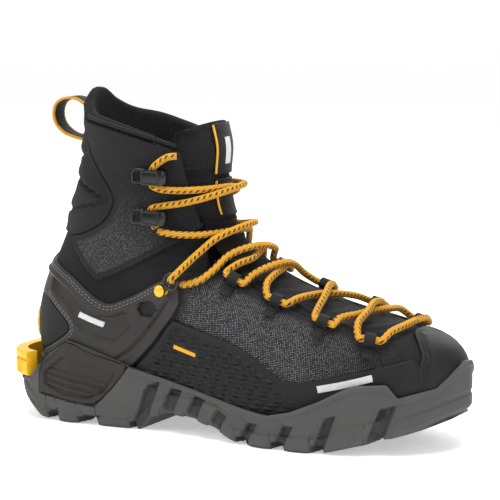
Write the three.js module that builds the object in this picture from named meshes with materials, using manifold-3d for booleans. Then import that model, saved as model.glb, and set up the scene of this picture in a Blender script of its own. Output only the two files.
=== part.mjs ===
// A right-foot mountaineering boot: lugged rubber outsole, foam midsole, stiff shank,
// lasted textile upper with a moulded heel frame, a flexing ankle and a soft laced cuff.
// Millimetres. While it is drawn, x runs from the heel (0) to the toe, y from the
// outer (lateral) side, which is negative, to the inner (medial) side, and z up.
import * as THREE from 'three';
import { mergeVertices } from 'three/addons/utils/BufferGeometryUtils.js';
import Module from 'manifold-3d';

const wasm = await Module();
wasm.setup();

// ---------------------------------------------------------------- driving sizes
const BOOT_LENGTH = 310;          // heel of the sole to its toe bumper
const BALL_WIDTH = 110;           // sole width at the ball of the foot
const COLLAR_HEIGHT = 208;        // ground to the back of the collar
const LUG_DEPTH = 6;              // tread depth
const TREAD_BASE = 4;             // rubber between the tread and the midsole
const SOLE_WALL = 9;              // outsole edge to the midsole inside it
const SHANK_THICKNESS = 1.6;
const SHANK_INSET = 17;           // featherline to the edge of the shank
const BOARD_THICKNESS = 2.2;
const FOOTBED_THICKNESS = 5;
const OVERLAY = 1.5;              // heel frame, rand, toe cap and cuff shell
const CLOTH = 1.3;                // woven vamp
const STIFFENER = 1.6;            // heel counter and toe puff
const LINING = 1.6;               // membrane bootee
const SOCK = 2;                   // knitted collar sock
const TONGUE = 3;
const LACE = 4.5;                 // lace diameter
const WEB = 1.2;                  // thickness of the webbing loops
const LOOP_LENGTH = 7;            // webbing loop, measured along the lace in it
const LOOP_TAIL = 12;             // sewn tail of a webbing loop
const HOOK_PLATE = 1.2;
const HOOK_WIDTH = 10;
const HOOK_LENGTH = 12;
const HOOK_BASE = 20;
const RIVET_HEAD = 3.5;           // head radius
const RIVET_SHAFT = 1.8;          // shaft radius
const RING_EYE = 4.2;             // radius of the lace ring's eye
const RING_BAR = 2.0;             // width of the ring's bar
const RING_REACH = 10.5;          // rivet to the middle of the eye
const RING_THICKNESS = 1.6;
const PULL_WIDTH = 14;            // webbing of the heel pull loop
const PULL_THICKNESS = 1.6;
const PULL_PLAY = 2.2;            // room for the loop to turn at its stitching
const WELT_HEIGHT = 16;           // heel welt that a crampon lever clips on
const GAP = 0.35;                 // clearance between touching pieces
const RUNNING = 0.4;              // clearance of a part that turns

// ---------------------------------------------------------------- grading
// The outlines are drawn on a 310 x 110 x 208 pattern and graded to the sizes above.
const SOLE_TOP = 60;
const kx = BOOT_LENGTH / 310;
const ky = BALL_WIDTH / 110;
const kz = (COLLAR_HEIGHT - SOLE_TOP) / (208 - SOLE_TOP);
const gradeZ = (z) => (z > SOLE_TOP ? SOLE_TOP + (z - SOLE_TOP) * kz : z);

const clamp = (x, a, b) => Math.min(b, Math.max(a, x));
const mix = (a, b, t) => a + (b - a) * t;
function smooth(a, b, x) {
  const t = clamp((x - a) / (b - a), 0, 1);
  return t * t * (3 - 2 * t);
}

// Smooth curve through rows [parameter, value, value...].
function curve(rows, p) {
  const last = rows.length - 1;
  let i = 0;
  while (i < last - 1 && p >= rows[i + 1][0]) i++;
  const slope = (k, c) => {
    const a = rows[Math.max(k - 1, 0)];
    const b = rows[Math.min(k + 1, last)];
    return (b[c] - a[c]) / (b[0] - a[0]);
  };
  const h = rows[i + 1][0] - rows[i][0];
  const s = clamp((p - rows[i][0]) / h, 0, 1);
  return rows[i].slice(1).map((_, k) => {
    const c = k + 1;
    const a = rows[i][c];
    const b = rows[i + 1][c];
    const up = (s ** 3 - 2 * s ** 2 + s) * h * slope(i, c);
    const down = (s ** 3 - s ** 2) * h * slope(i + 1, c);
    return mix(a, b, 3 * s ** 2 - 2 * s ** 3) + up + down;
  });
}

// ---------------------------------------------------------------- the last
// The upper's outer surface is a fan of rings, from the featherline (v = 0) to the
// collar (v = 1). Each ring runs w = 0 (heel) to 1 (toe) on the lateral side and on to
// 2 (heel) on the medial side.
const PROFILE = [                 // v, back x, back z, front x, front z
  [0.0, 13, 40, 304, 27],
  [0.1, 10, 54, 307, 44],
  [0.2, 10, 68, 299, 62],
  [0.3, 13, 82, 272, 75],
  [0.4, 18, 96, 236, 83],
  [0.5, 24, 110, 198, 96],
  [0.6, 31, 125, 168, 114],
  [0.7, 39, 142, 150, 137],
  [0.8, 45, 162, 146, 160],
  [0.9, 47, 184, 147, 180],
  [1.0, 46, 208, 143, 198],
  [1.1, 45, 231, 141, 216],
];
const GIRTH = [                   // v, heel half width, ball half width, roundness, toe shift
  [0.0, 36, 50, 0.16, 0.22, 9],
  [0.2, 38, 49, 0.20, 0.25, 8],
  [0.4, 36, 45, 0.26, 0.36, 5],
  [0.6, 36, 38, 0.40, 0.50, 2],
  [0.8, 38, 37, 0.50, 0.50, 0],
  [1.0, 41, 38, 0.50, 0.50, 0],
  [1.1, 42, 39, 0.50, 0.50, 0],
];
const MEDIAL_WAIST = 0.12;
const LATERAL_WAIST = 0.07;
const ARCH_DROP = 8;

function ringWidth(s, v, side, inset) {
  const [heel, ball, backRound, frontRound, toeShift] = curve(GIRTH, v);
  const pinch = (side > 0 ? MEDIAL_WAIST : LATERAL_WAIST) * (1 - smooth(0.2, 0.6, v));
  const waist = 1 - pinch * Math.exp(-(((s - 0.4) / 0.13) ** 2));
  const half = (mix(heel, ball, smooth(0.25, 0.66, s)) * waist - inset) * ky;
  const back = Math.sqrt(clamp(1 - (1 - clamp(s / backRound, 0, 1)) ** 2, 0, 1));
  const front = clamp((s - (1 - frontRound)) / frontRound, 0, 1);
  const nose = Math.sqrt(clamp(1 - front ** 2.2, 0, 1));
  return side * half * back * nose + toeShift * ky * smooth(0.45, 1, s);
}

function skinPoint(w, v) {
  const around = ((w % 2) + 2) % 2;
  const side = around > 1 ? 1 : -1;
  const t = around > 1 ? 2 - around : around;
  const s = (1 - Math.cos(Math.PI * t)) / 2;
  const [backX, backZ, frontX, frontZ] = curve(PROFILE, v);
  const drop = ARCH_DROP * Math.sin(Math.PI * s) * Math.max(0, 1 - v) ** 2;
  const z = mix(backZ, frontZ, s) - drop;
  return new THREE.Vector3(mix(backX, frontX, s) * kx, ringWidth(s, v, side, 0), gradeZ(z));
}

const STEP = 0.004;
function skinNormal(w, v) {
  const along = skinPoint(w + STEP, v).sub(skinPoint(w - STEP, v));
  const low = Math.max(v - STEP, 0);
  const up = skinPoint(w, low + 2 * STEP).sub(skinPoint(w, low));
  return along.cross(up).normalize();
}
// A point on the upper, `lift` outside its surface (negative is inside).
const onSkin = (w, v, lift) => skinPoint(w, v).addScaledVector(skinNormal(w, v), lift);

// ---------------------------------------------------------------- solids
function toSolid(geometry) {
  const bare = new THREE.BufferGeometry();
  bare.setAttribute('position', geometry.getAttribute('position').clone());
  if (geometry.index) bare.setIndex(geometry.index.clone());
  const merged = mergeVertices(bare, 1e-4);
  return new wasm.Manifold(new wasm.Mesh({
    numProp: 3,
    vertProperties: new Float32Array(merged.getAttribute('position').array),
    triVerts: new Uint32Array(merged.index.array),
  }));
}

function toGeometry(solid) {
  const mesh = solid.getMesh();
  const geometry = new THREE.BufferGeometry();
  geometry.setAttribute('position', new THREE.BufferAttribute(new Float32Array(mesh.vertProperties), 3));
  geometry.setIndex(new THREE.BufferAttribute(new Uint32Array(mesh.triVerts), 1));
  return geometry;
}

function fromQuads(points, faces) {
  const geometry = new THREE.BufferGeometry();
  geometry.setAttribute('position', new THREE.Float32BufferAttribute(points.flatMap((p) => p.toArray()), 3));
  const index = faces.flatMap((f) => (f.length === 4 ? [f[0], f[1], f[2], f[0], f[2], f[3]] : f));
  geometry.setIndex(index);
  return geometry;
}

// Closed skin between two lifts over a rectangle of (w, v); every layer of the upper
// uses the same stations, so that layers stay parallel.
function shell(ws, vs, outer, inner) {
  const closed = Math.abs(ws[ws.length - 1] - ws[0] - 2) < 1e-9;
  const columns = closed ? ws.slice(0, -1) : ws;
  const points = [];
  for (const lift of [outer, inner]) {
    for (const w of columns) for (const v of vs) points.push(onSkin(w, v, lift(w, v)));
  }
  const rows = vs.length;
  const count = columns.length;
  const at = (layer, i, j) => (layer * count + (i % count)) * rows + j;
  const faces = [];
  const bays = closed ? count : count - 1;
  for (let i = 0; i < bays; i++) {
    for (let j = 0; j < rows - 1; j++) {
      faces.push([at(0, i, j), at(0, i + 1, j), at(0, i + 1, j + 1), at(0, i, j + 1)]);
      faces.push([at(1, i, j), at(1, i, j + 1), at(1, i + 1, j + 1), at(1, i + 1, j)]);
    }
    faces.push([at(0, i, 0), at(1, i, 0), at(1, i + 1, 0), at(0, i + 1, 0)]);
    faces.push([at(0, i, rows - 1), at(0, i + 1, rows - 1), at(1, i + 1, rows - 1), at(1, i, rows - 1)]);
  }
  if (!closed) {
    for (let j = 0; j < rows - 1; j++) {
      faces.push([at(0, 0, j), at(0, 0, j + 1), at(1, 0, j + 1), at(1, 0, j)]);
      faces.push([at(0, bays, j), at(1, bays, j), at(1, bays, j + 1), at(0, bays, j + 1)]);
    }
  }
  return fromQuads(points, faces);
}

const COLUMNS = 32;
const W_STATIONS = Array.from({ length: COLUMNS + 1 }, (_, i) => (2 * i) / COLUMNS);
const V_STATIONS = [0.03, 0.1, 0.2, 0.3, 0.4, 0.5, 0.6, 0.7, 0.8, 0.9, 1.02];
const FEATHER_STATIONS = [0, ...V_STATIONS];
const layer = (outer, inner) => toSolid(shell(W_STATIONS, V_STATIONS, () => -outer, () => -inner));

// Everything inside the upper's surface, `lift` outside it, closed at both ends.
function lastSolid(lift) {
  const points = [];
  const columns = W_STATIONS.slice(0, -1);
  for (const v of FEATHER_STATIONS) for (const w of columns) points.push(onSkin(w, v, lift));
  const n = columns.length;
  const faces = [];
  for (let j = 0; j < FEATHER_STATIONS.length - 1; j++) {
    for (let i = 0; i < n; i++) {
      const k = (i + 1) % n;
      faces.push([j * n + i, j * n + k, (j + 1) * n + k, (j + 1) * n + i]);
    }
  }
  const top = (FEATHER_STATIONS.length - 1) * n;
  for (let i = 0; i < n / 2; i++) {
    const a = i;
    const b = i + 1;
    const c = (n - i) % n;
    const d = n - i - 1;
    if (a !== c && b !== d) faces.push([a, c, d, b]);
    else faces.push(a === c ? [a, d, b] : [a, c, b]);
    if (a !== c && b !== d) faces.push([top + a, top + b, top + d, top + c]);
    else faces.push(a === c ? [top + a, top + b, top + d] : [top + a, top + b, top + c]);
  }
  return toSolid(fromQuads(points, faces));
}

// Outline helpers. Outlines are [x, z] or [x, y] rows on the ungraded pattern.
function grow(outline, by) {
  const area = outline.reduce((sum, [x, y], i) => {
    const [nx, ny] = outline[(i + 1) % outline.length];
    return sum + x * ny - nx * y;
  }, 0);
  const out = by * Math.sign(area);
  return outline.map(([x, y], i) => {
    const [px, py] = outline[(i + outline.length - 1) % outline.length];
    const [nx, ny] = outline[(i + 1) % outline.length];
    const a = new THREE.Vector2(x - px, y - py).normalize();
    const b = new THREE.Vector2(nx - x, ny - y).normalize();
    const mid = new THREE.Vector2(a.y + b.y, -a.x - b.x).normalize();
    const stretch = out / Math.max(0.4, mid.dot(new THREE.Vector2(a.y, -a.x)));
    return [x + mid.x * stretch, y + mid.y * stretch];
  });
}
const asShape = (rows) => new THREE.Shape(rows.map(([x, y]) => new THREE.Vector2(x, y)));
const REACH = 200;
// A cutter through the boot from side to side, drawn in side view.
function sideCut(outline, clearance = 0) {
  const graded = grow(outline.map(([x, z]) => [x * kx, gradeZ(z)]), clearance);
  const geometry = new THREE.ExtrudeGeometry(asShape(graded), { depth: REACH, bevelEnabled: false });
  geometry.rotateX(Math.PI / 2);
  geometry.translate(0, REACH / 2, 0);
  return toSolid(geometry);
}
// A cutter through the boot from below to above, drawn in plan.
function planCut(outline, low, high, clearance = 0) {
  const graded = grow(outline.map(([x, y]) => [x * kx, y * ky]), clearance);
  const geometry = new THREE.ExtrudeGeometry(asShape(graded), { depth: high - low, bevelEnabled: false });
  geometry.translate(0, 0, low);
  return toSolid(geometry);
}
// The two halves of the boot meet on this line, which follows the foot's inward curve.
const CENTRE_LINE = [[-40, 0], [150, 0], [210, 3], [265, 7], [360, 11]];
function half(side) {
  const edge = CENTRE_LINE.map(([x, y]) => [x, y + (side * GAP) / 2]);
  return planCut([...edge, [360, side * 90], [-40, side * 90]], -10, 300);
}
const HALVES = { lateral: half(-1), medial: half(1) };

// ---------------------------------------------------------------- the model
const boot = new THREE.Group();
boot.name = 'mountaineering_boot';
const FINISH = {
  rubber: [0x59595a, 0.85, 0],
  taupe: [0x453f3e, 0.6, 0],
  black: [0x1c1c1d, 0.7, 0],
  film: [0x202021, 0.45, 0],
  cloth: [0x2f3032, 0.9, 0],
  knit: [0x2a2a2c, 0.95, 0],
  foam: [0x3a3a3c, 0.95, 0],
  board: [0x6b6154, 0.9, 0],
  shank: [0x2b2b2b, 0.5, 0],
  yellow: [0xf2b705, 0.5, 0],
  metal: [0x2a2a2b, 0.35, 0.8],
  lace: [0xe8a52c, 0.85, 0],
};
function place(name, shape, finish, holder = boot) {
  const [color, roughness, metalness] = FINISH[finish];
  const geometry = shape instanceof THREE.BufferGeometry ? shape : toGeometry(shape);
  const mesh = new THREE.Mesh(geometry, new THREE.MeshStandardMaterial({ color, roughness, metalness }));
  mesh.name = name;
  holder.add(mesh);
  return mesh;
}
const SIDES = { lateral: -1, medial: 1 };
// Station on the ring for one side: 0 is the heel, 1 the toe.
const ringStation = (side, t) => (side < 0 ? t : 2 - t);

// ---------------------------------------------------------------- sole unit
// Plan outline, rocker and top edge of the sole, by distance from the heel.
const SOLE_LATERAL = [
  [0, -3], [2, -14], [6, -24], [14, -32.5], [24, -38], [50, -42], [90, -41], [130, -42], [165, -48],
  [200, -55], [235, -54], [262, -47], [283, -36], [297, -22], [305, -9], [310, 6],
];
const SOLE_MEDIAL = [
  [0, 3], [2, 14], [6, 24], [14, 32.5], [24, 38], [50, 42], [90, 40], [130, 41], [165, 47],
  [200, 54], [235, 55], [262, 53], [283, 46], [297, 36], [305, 25], [310, 11],
];
const ROCKER = [
  [0, 24], [6, 17], [14, 9], [26, 2], [36, 0], [102, 0], [110, 9], [124, 13], [145, 11],
  [160, 7], [176, 0], [234, 0], [250, 4], [270, 9], [290, 15], [310, 23],
];
const SOLE_EDGE = [
  [0, 27], [18, 27], [24, 33], [34, 45], [48, 54], [58, 52], [75, 47], [96, 40], [111, 37],
  [130, 33], [151, 29], [182, 23], [198, 21], [216, 25], [235, 33], [248, 40], [256, 43.5],
  [275, 44.5], [281, 36], [299, 41], [304, 47], [310, 55],
];
function along(rows, x) {
  let i = 0;
  while (i < rows.length - 2 && x > rows[i + 1][0]) i++;
  const [x0, y0] = rows[i];
  const [x1, y1] = rows[i + 1];
  return mix(y0, y1, clamp((x - x0) / (x1 - x0), 0, 1));
}
const bedHeight = (x) => {
  const s = clamp((x - 13) / 291, 0, 1);
  return mix(40, 27, s) - ARCH_DROP * Math.sin(Math.PI * s);
};
// A body with a plan outline and heights that change along the foot.
function slab(stations, left, right, low, high) {
  const points = [];
  for (const x of stations) {
    points.push(new THREE.Vector3(x * kx, left(x) * ky, low(x)));
    points.push(new THREE.Vector3(x * kx, right(x) * ky, low(x)));
    points.push(new THREE.Vector3(x * kx, right(x) * ky, high(x)));
    points.push(new THREE.Vector3(x * kx, left(x) * ky, high(x)));
  }
  const faces = [[0, 3, 2, 1]];
  for (let i = 0; i < stations.length - 1; i++) {
    for (let k = 0; k < 4; k++) {
      const n = (k + 1) % 4;
      faces.push([4 * i + k, 4 * i + n, 4 * (i + 1) + n, 4 * (i + 1) + k]);
    }
  }
  const e = 4 * (stations.length - 1);
  faces.push([e, e + 1, e + 2, e + 3]);
  return toSolid(fromQuads(points, faces));
}
const stationsOf = (...tables) => [...new Set(tables.flatMap((rows) => rows.map((r) => r[0])))].sort((a, b) => a - b);
const soleStations = stationsOf(SOLE_LATERAL, ROCKER, SOLE_EDGE);
const treadTop = (x) => along(ROCKER, x) + LUG_DEPTH + TREAD_BASE;
const soleBlank = slab(
  soleStations,
  (x) => along(SOLE_LATERAL, x),
  (x) => along(SOLE_MEDIAL, x),
  (x) => along(ROCKER, x),
  (x) => along(SOLE_EDGE, x),
);
// The inner slabs share one set of stations; `inset` is measured from the edge of the sole.
function insetSlab(table, inset, low, high) {
  const from = table.start + inset;
  const to = table.end - inset;
  const stations = [0, 0.015, 0.05, 0.1, 0.17, 0.28, 0.4, 0.52, 0.64, 0.76, 0.86, 0.93, 0.98, 1]
    .map((s) => mix(from, to, s));
  const pull = (x) => mix(table.start, table.end, (x - from) / (to - from));
  return slab(
    stations,
    (x) => table.left(pull(x)) + Math.min(inset, table.half(pull(x)) * 0.8),
    (x) => table.right(pull(x)) - Math.min(inset, table.half(pull(x)) * 0.8),
    low,
    high,
  );
}
const solePlan = {
  start: 0,
  end: 310,
  left: (x) => along(SOLE_LATERAL, x),
  right: (x) => along(SOLE_MEDIAL, x),
  half: (x) => (along(SOLE_MEDIAL, x) - along(SOLE_LATERAL, x)) / 2,
};
const featherPlan = {
  start: 13,
  end: 304,
  left: (x) => ringWidth(clamp((x - 13) / 291, 0.002, 0.998), 0, -1, 0) / ky,
  right: (x) => ringWidth(clamp((x - 13) / 291, 0.002, 0.998), 0, 1, 0) / ky,
  half: (x) => (featherPlan.right(x) - featherPlan.left(x)) / 2,
};
const shankTop = (x) => bedHeight(x) - GAP;
const shankLow = (x) => shankTop(x) - SHANK_THICKNESS;
const midsoleTop = (x) => shankLow(x) - GAP;
const midsole = insetSlab(solePlan, SOLE_WALL, treadTop, midsoleTop);
const midsoleRoom = insetSlab(solePlan, SOLE_WALL - GAP, (x) => treadTop(x) - GAP, (x) => bedHeight(x) + 1);

// Tread: slanted notches run in from both edges between the lugs.
// Rows are [front x at the ground, width, height, slant].
const NOTCHES = [
  [34, 8, 8, 2], [69, 11, 7, 3], [100, 13, 20, 9], [124, 8, 19, 8], [141, 8, 17, 8], [158, 8, 15, 8],
  [178, 8, 12, 9], [206, 8, 13, 8], [233, 8, 16, 9], [271, 11, 18, 7],
];
const NOTCH_REACH = 17;
const NOTCH_FACE = 2.6;
function notch([x, width, height, slant], side, deep) {
  const base = along(ROCKER, x) - 8;
  const rise = height + 8;
  const lean = (slant / height) * rise;
  const shape = asShape([[x - width / 2 - 3, base], [x + width / 2 - 3, base],
    [x + width / 2 - 3 + lean, base + rise], [x - width / 2 - 3 + lean, base + rise]]);
  const geometry = new THREE.ExtrudeGeometry(shape, { depth: 60, bevelEnabled: false });
  geometry.rotateX(Math.PI / 2);
  const edge = along(side < 0 ? SOLE_LATERAL : SOLE_MEDIAL, x);
  const start = edge - side * deep;
  geometry.scale(kx, 1, 1);
  geometry.translate(0, side < 0 ? start * ky : start * ky + 60, 0);
  return toSolid(geometry);
}
function tread(solid) {
  let cut = solid;
  for (const side of [-1, 1]) {
    for (const row of NOTCHES) {
      const [x, width, height, slant] = row;
      cut = cut.subtract(notch(row, side, NOTCH_FACE));
      const low = Math.min(height, LUG_DEPTH);
      cut = cut.subtract(notch([x, width, low, (slant * low) / height], side, NOTCH_REACH));
    }
  }
  return cut;
}
const cup = lastSolid(GAP);
const HEEL_INSERT = [[27, 17], [45, 15], [70, 12], [84, 26], [96, 41], [96, 60], [40, 60], [27, 37]];
const insertSide = (side) => planCut([[0, side * 12], [120, side * 12], [120, side * 70], [0, side * 70]], 0, 80);
const solid = soleBlank.subtract(cup).subtract(midsoleRoom);
let outsole = tread(solid);
for (const side of [-1, 1]) {
  outsole = outsole.subtract(sideCut(HEEL_INSERT, GAP).intersect(insertSide(side)));
}
place('outsole', outsole, 'rubber');
place('midsole', midsole, 'foam');
for (const [name, side] of Object.entries(SIDES)) {
  const insert = solid.intersect(sideCut(HEEL_INSERT)).intersect(insertSide(side));
  place(`heel_insert_${name}`, insert.intersect(HALVES[name]), 'taupe');
}
place('shank_plate', insetSlab(featherPlan, SHANK_INSET, shankLow, shankTop), 'shank');
const BOARD_INSET = OVERLAY + CLOTH + STIFFENER + LINING + 4 * GAP + 0.5;
const boardTop = (x) => bedHeight(x) + GAP + BOARD_THICKNESS;
place('lasting_board', insetSlab(featherPlan, BOARD_INSET, (x) => bedHeight(x) + GAP, boardTop), 'board');
const FOOTBED_INSET = BOARD_INSET + 0.6;
place('footbed', insetSlab(
  featherPlan, FOOTBED_INSET, (x) => boardTop(x) + GAP, (x) => boardTop(x) + GAP + FOOTBED_THICKNESS,
), 'foam');

// Heel welt: a ledge round the back of the heel that a crampon's lever sits on.
const WELT_PLAN = [
  [-4, -8], [-2.5, -16], [2, -25], [9, -32], [17.5, -36.5], [17.5, 36.5],
  [9, 32], [2, 25], [-2.5, 16], [-4, 8],
];
const weltLow = along(SOLE_EDGE, 0) + GAP;
const weltTop = weltLow + WELT_HEIGHT;
const weltRoom = sideCut(HEEL_INSERT, GAP);
const welt = planCut(WELT_PLAN, weltLow, weltTop).subtract(cup).subtract(weltRoom).subtract(midsoleRoom);
place('heel_welt', welt, 'yellow');

// ---------------------------------------------------------------- layers of the upper
const clothTop = OVERLAY + GAP;
const clothEnd = clothTop + CLOTH;
const stiffTop = clothEnd + GAP;
const stiffEnd = stiffTop + STIFFENER;
const liningTop = stiffEnd + GAP;
const overlayLayer = layer(0, OVERLAY);
const clothLayer = layer(clothTop, clothEnd);
const stiffLayer = layer(stiffTop, stiffEnd);
const liningLayer = layer(liningTop, liningTop + LINING);

// Side-view outlines [x, z].
const V_EDGE = [[-10, 108], [22, 104], [34, 101], [50, 95], [62, 87], [72, 81], [79, 79], [87, 82], [107, 92], [119, 98.5]];
const FRAME = [...V_EDGE, [127, 99], [132, 94], [134, 89], [120, 69], [107, 52], [94, 39], [86, 20], [-10, 20]];
const WINDOW = [[100.5, 78], [103.5, 82], [111, 83.3], [114.5, 79], [110.5, 74], [103, 73.8]];
const HEEL_PATCH = [[-10, 80], [26.7, 80], [38, 73], [50, 64], [49, 58.5], [32, 48], [20, 43], [20, 20], [-10, 20]];
const RAND = [
  [128, 73], [149, 68], [179, 60], [194, 50], [210, 41], [226, 43], [251, 50], [279, 57.5], [286, 59],
  [286, 10], [88, 10], [95.5, 37.5], [108.5, 50.5], [121.5, 67.5],
];
const TOE_CAP = [[287, 10], [287.5, 60], [283.5, 68], [276.5, 78], [276.5, 100], [340, 100], [340, 10]];
const CUFF_HEM = [[52, 110], [70, 93.5], [104, 109.5], [130, 124.5], [141, 131]];
const CUFF_FRONT = [[135.5, 145], [131.5, 160], [128, 178]];
const ACHILLES_EDGE = [
  [45, 121], [52, 121.5], [64, 125.5], [78, 133.5], [84, 144], [82.5, 151], [76, 159], [67, 169], [53, 190], [51, 196],
];
const CUFF_TOP = [[104, 186], [83, 192], [68, 194.5]];
const CUFF = [...CUFF_HEM, ...CUFF_FRONT, ...CUFF_TOP, ...ACHILLES_EDGE.slice().reverse()];
const FLEX_FOOT = [[-20, 109], ...V_EDGE.slice(1), [127, 104], [140, 108], [152, 106]];
const FLEX = [...FLEX_FOOT, [146, 117], [141, 130], ...CUFF_HEM.slice(0, -1).reverse(), [45, 120], [-20, 120]];
const THROAT = [
  [100, -20], [135, -23], [150, -24.5], [165, -25.5], [180, -27], [200, -28], [225, -29.5], [248, -29.5],
  [261, -26], [269, -18], [273, -7], [274, 4], [273, 15], [269, 25], [261, 32], [248, 35.5],
  [225, 34], [200, 31], [180, 28.5], [165, 26.5], [150, 24.5], [135, 23], [100, 20],
];
const throat = planCut(THROAT, 55, 240);
const TONGUE_MARGIN = 6;
const tongueRoom = planCut(THROAT, 55, 240, TONGUE_MARGIN + GAP);
const footSide = sideCut([...V_EDGE, [127, 103.5], [140, 106.5], [152, 104.5], [158, 130], [340, 130], [340, 0], [-20, 0]], -GAP);

const frameBlank = overlayLayer.intersect(sideCut(FRAME)).subtract(sideCut(WINDOW));
for (const name of Object.keys(SIDES)) {
  const frame = frameBlank.subtract(sideCut(HEEL_PATCH, GAP)).intersect(HALVES[name]);
  place(`frame_${name}`, frame, 'taupe');
  const rand = overlayLayer.intersect(sideCut(RAND)).intersect(HALVES[name]);
  place(`rand_${name}`, rand, 'film');
  const vamp = clothLayer.intersect(footSide).subtract(throat).intersect(HALVES[name]);
  place(`vamp_${name}`, vamp, 'cloth');
  const lining = liningLayer.intersect(footSide).subtract(tongueRoom).intersect(HALVES[name]);
  place(`lining_${name}`, lining, 'knit');
}
place('heel_patch', overlayLayer.intersect(sideCut(HEEL_PATCH)), 'black');
place('toe_cap', overlayLayer.intersect(sideCut(TOE_CAP)).subtract(throat), 'film');
const COUNTER = [[-10, 20], [-10, 92], [30, 92], [66, 74], [82, 50], [86, 20]];
place('heel_counter', stiffLayer.intersect(sideCut(COUNTER)), 'board');
const PUFF = [[262, 10], [262, 62], [281, 74], [340, 80], [340, 10]];
place('toe_puff', stiffLayer.intersect(sideCut(PUFF)).subtract(tongueRoom), 'board');

// Yellow trim: a narrow rib up the back of the heel, above the welt.
const trimBand = layer(-2.2, -GAP);
const TRIM = [[-20, 45], [-20, 73], [30, 73], [30, 45]];
const TRIM_HALF = 5;
const trimPlan = planCut([[-20, -TRIM_HALF], [60, -TRIM_HALF], [60, TRIM_HALF], [-20, TRIM_HALF]], 0, 100);
const trim = trimBand.intersect(sideCut(TRIM)).intersect(trimPlan).subtract(planCut(WELT_PLAN, 0, weltTop, GAP));
place('heel_trim', trim, 'yellow');

// Flex zone at the ankle: one soft band from throat to throat round the back.
const flexLayer = layer(clothTop, liningTop + LINING);
const flexZone = flexLayer.intersect(sideCut(FLEX)).subtract(planCut(THROAT, 55, 240, 1));
place('flex_zone', flexZone, 'black');

// ---------------------------------------------------------------- cuff
const cuff = new THREE.Group();
boot.add(cuff);
for (const name of Object.keys(SIDES)) {
  const panel = overlayLayer.intersect(sideCut(CUFF, -GAP)).intersect(HALVES[name]);
  place(`cuff_${name}`, panel, 'black', cuff);
}
const ACHILLES = [...ACHILLES_EDGE, [50, 207], [-20, 207], [-20, 121]];
const ACHILLES_PUFF = 1.2;
const achilles = layer(-ACHILLES_PUFF, clothEnd).intersect(sideCut(ACHILLES, -GAP));
place('achilles_pad', achilles, 'black', cuff);

// Inner knitted sock of the collar, open at the front for the tongue.
const SOCK_TOP = [[0, 1.018], [0.08, 1.012], [0.16, 0.985], [0.26, 0.962], [0.4, 0.952], [0.5, 0.94], [0.6, 0.922]];
const SOCK_LOW = [[0, 0.64], [0.2, 0.62], [0.35, 0.6], [0.5, 0.645], [0.6, 0.7]];
const SOCK_EDGE = 0.6;
const sockStations = [0.6, 0.5, 0.4, 0.3, 0.2, 0.1];
const sockColumns = [...sockStations.map((t) => -t), 0, ...sockStations.slice().reverse()];
const sockOuter = clothEnd + GAP;
function sleeve(columns, rows, top, low, outer, inner) {
  const points = [];
  for (const depth of [outer, inner]) {
    for (const w of columns) {
      for (let j = 0; j <= rows; j++) {
        const v = mix(along(low, Math.abs(w)), along(top, Math.abs(w)), j / rows);
        points.push(onSkin(w, v, -depth));
      }
    }
  }
  const n = rows + 1;
  const at = (k, i, j) => (k * columns.length + i) * n + j;
  const faces = [];
  const last = columns.length - 1;
  for (let i = 0; i < last; i++) {
    for (let j = 0; j < rows; j++) {
      faces.push([at(0, i, j), at(0, i + 1, j), at(0, i + 1, j + 1), at(0, i, j + 1)]);
      faces.push([at(1, i, j), at(1, i, j + 1), at(1, i + 1, j + 1), at(1, i + 1, j)]);
    }
    faces.push([at(0, i, 0), at(1, i, 0), at(1, i + 1, 0), at(0, i + 1, 0)]);
    faces.push([at(0, i, rows), at(0, i + 1, rows), at(1, i + 1, rows), at(1, i, rows)]);
  }
  for (let j = 0; j < rows; j++) {
    faces.push([at(0, 0, j), at(0, 0, j + 1), at(1, 0, j + 1), at(1, 0, j)]);
    faces.push([at(0, last, j), at(1, last, j), at(1, last, j + 1), at(0, last, j + 1)]);
  }
  return fromQuads(points, faces);
}
place('collar_sock', sleeve(sockColumns, 5, SOCK_TOP, SOCK_LOW, sockOuter + 1, sockOuter + 1 + SOCK), 'knit', cuff);

// Padded binding along the top edge of each cuff panel.
const BINDING_TOP = [[0.24, 0.972], [0.4, 0.962], [0.55, 0.942], [0.69, 0.915]];
const BINDING_LOW = [[0.24, 0.958], [0.4, 0.949], [0.55, 0.928], [0.69, 0.9]];
const bindingStations = [0.24, 0.3, 0.4, 0.5, 0.6, 0.69];
for (const [name, side] of Object.entries(SIDES)) {
  const columns = side < 0 ? bindingStations : bindingStations.map((t) => -t).reverse();
  const strip = sleeve(columns, 1, BINDING_TOP, BINDING_LOW, -0.6, clothEnd);
  place(`collar_binding_${name}`, strip, 'knit', cuff);
}

// ---------------------------------------------------------------- tongue
const TONGUE_SPLIT = 0.54;        // where the lower tongue ends and the flexing part begins
const lowerRows = [...V_STATIONS.filter((v) => v < TONGUE_SPLIT), TONGUE_SPLIT];
const lowerBand = toSolid(shell(W_STATIONS, lowerRows, () => -stiffTop, () => -stiffTop - TONGUE));
const tongueLower = lowerBand.intersect(planCut(THROAT, 55, 240, TONGUE_MARGIN));
place('tongue_lower', tongueLower, 'black');

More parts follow.
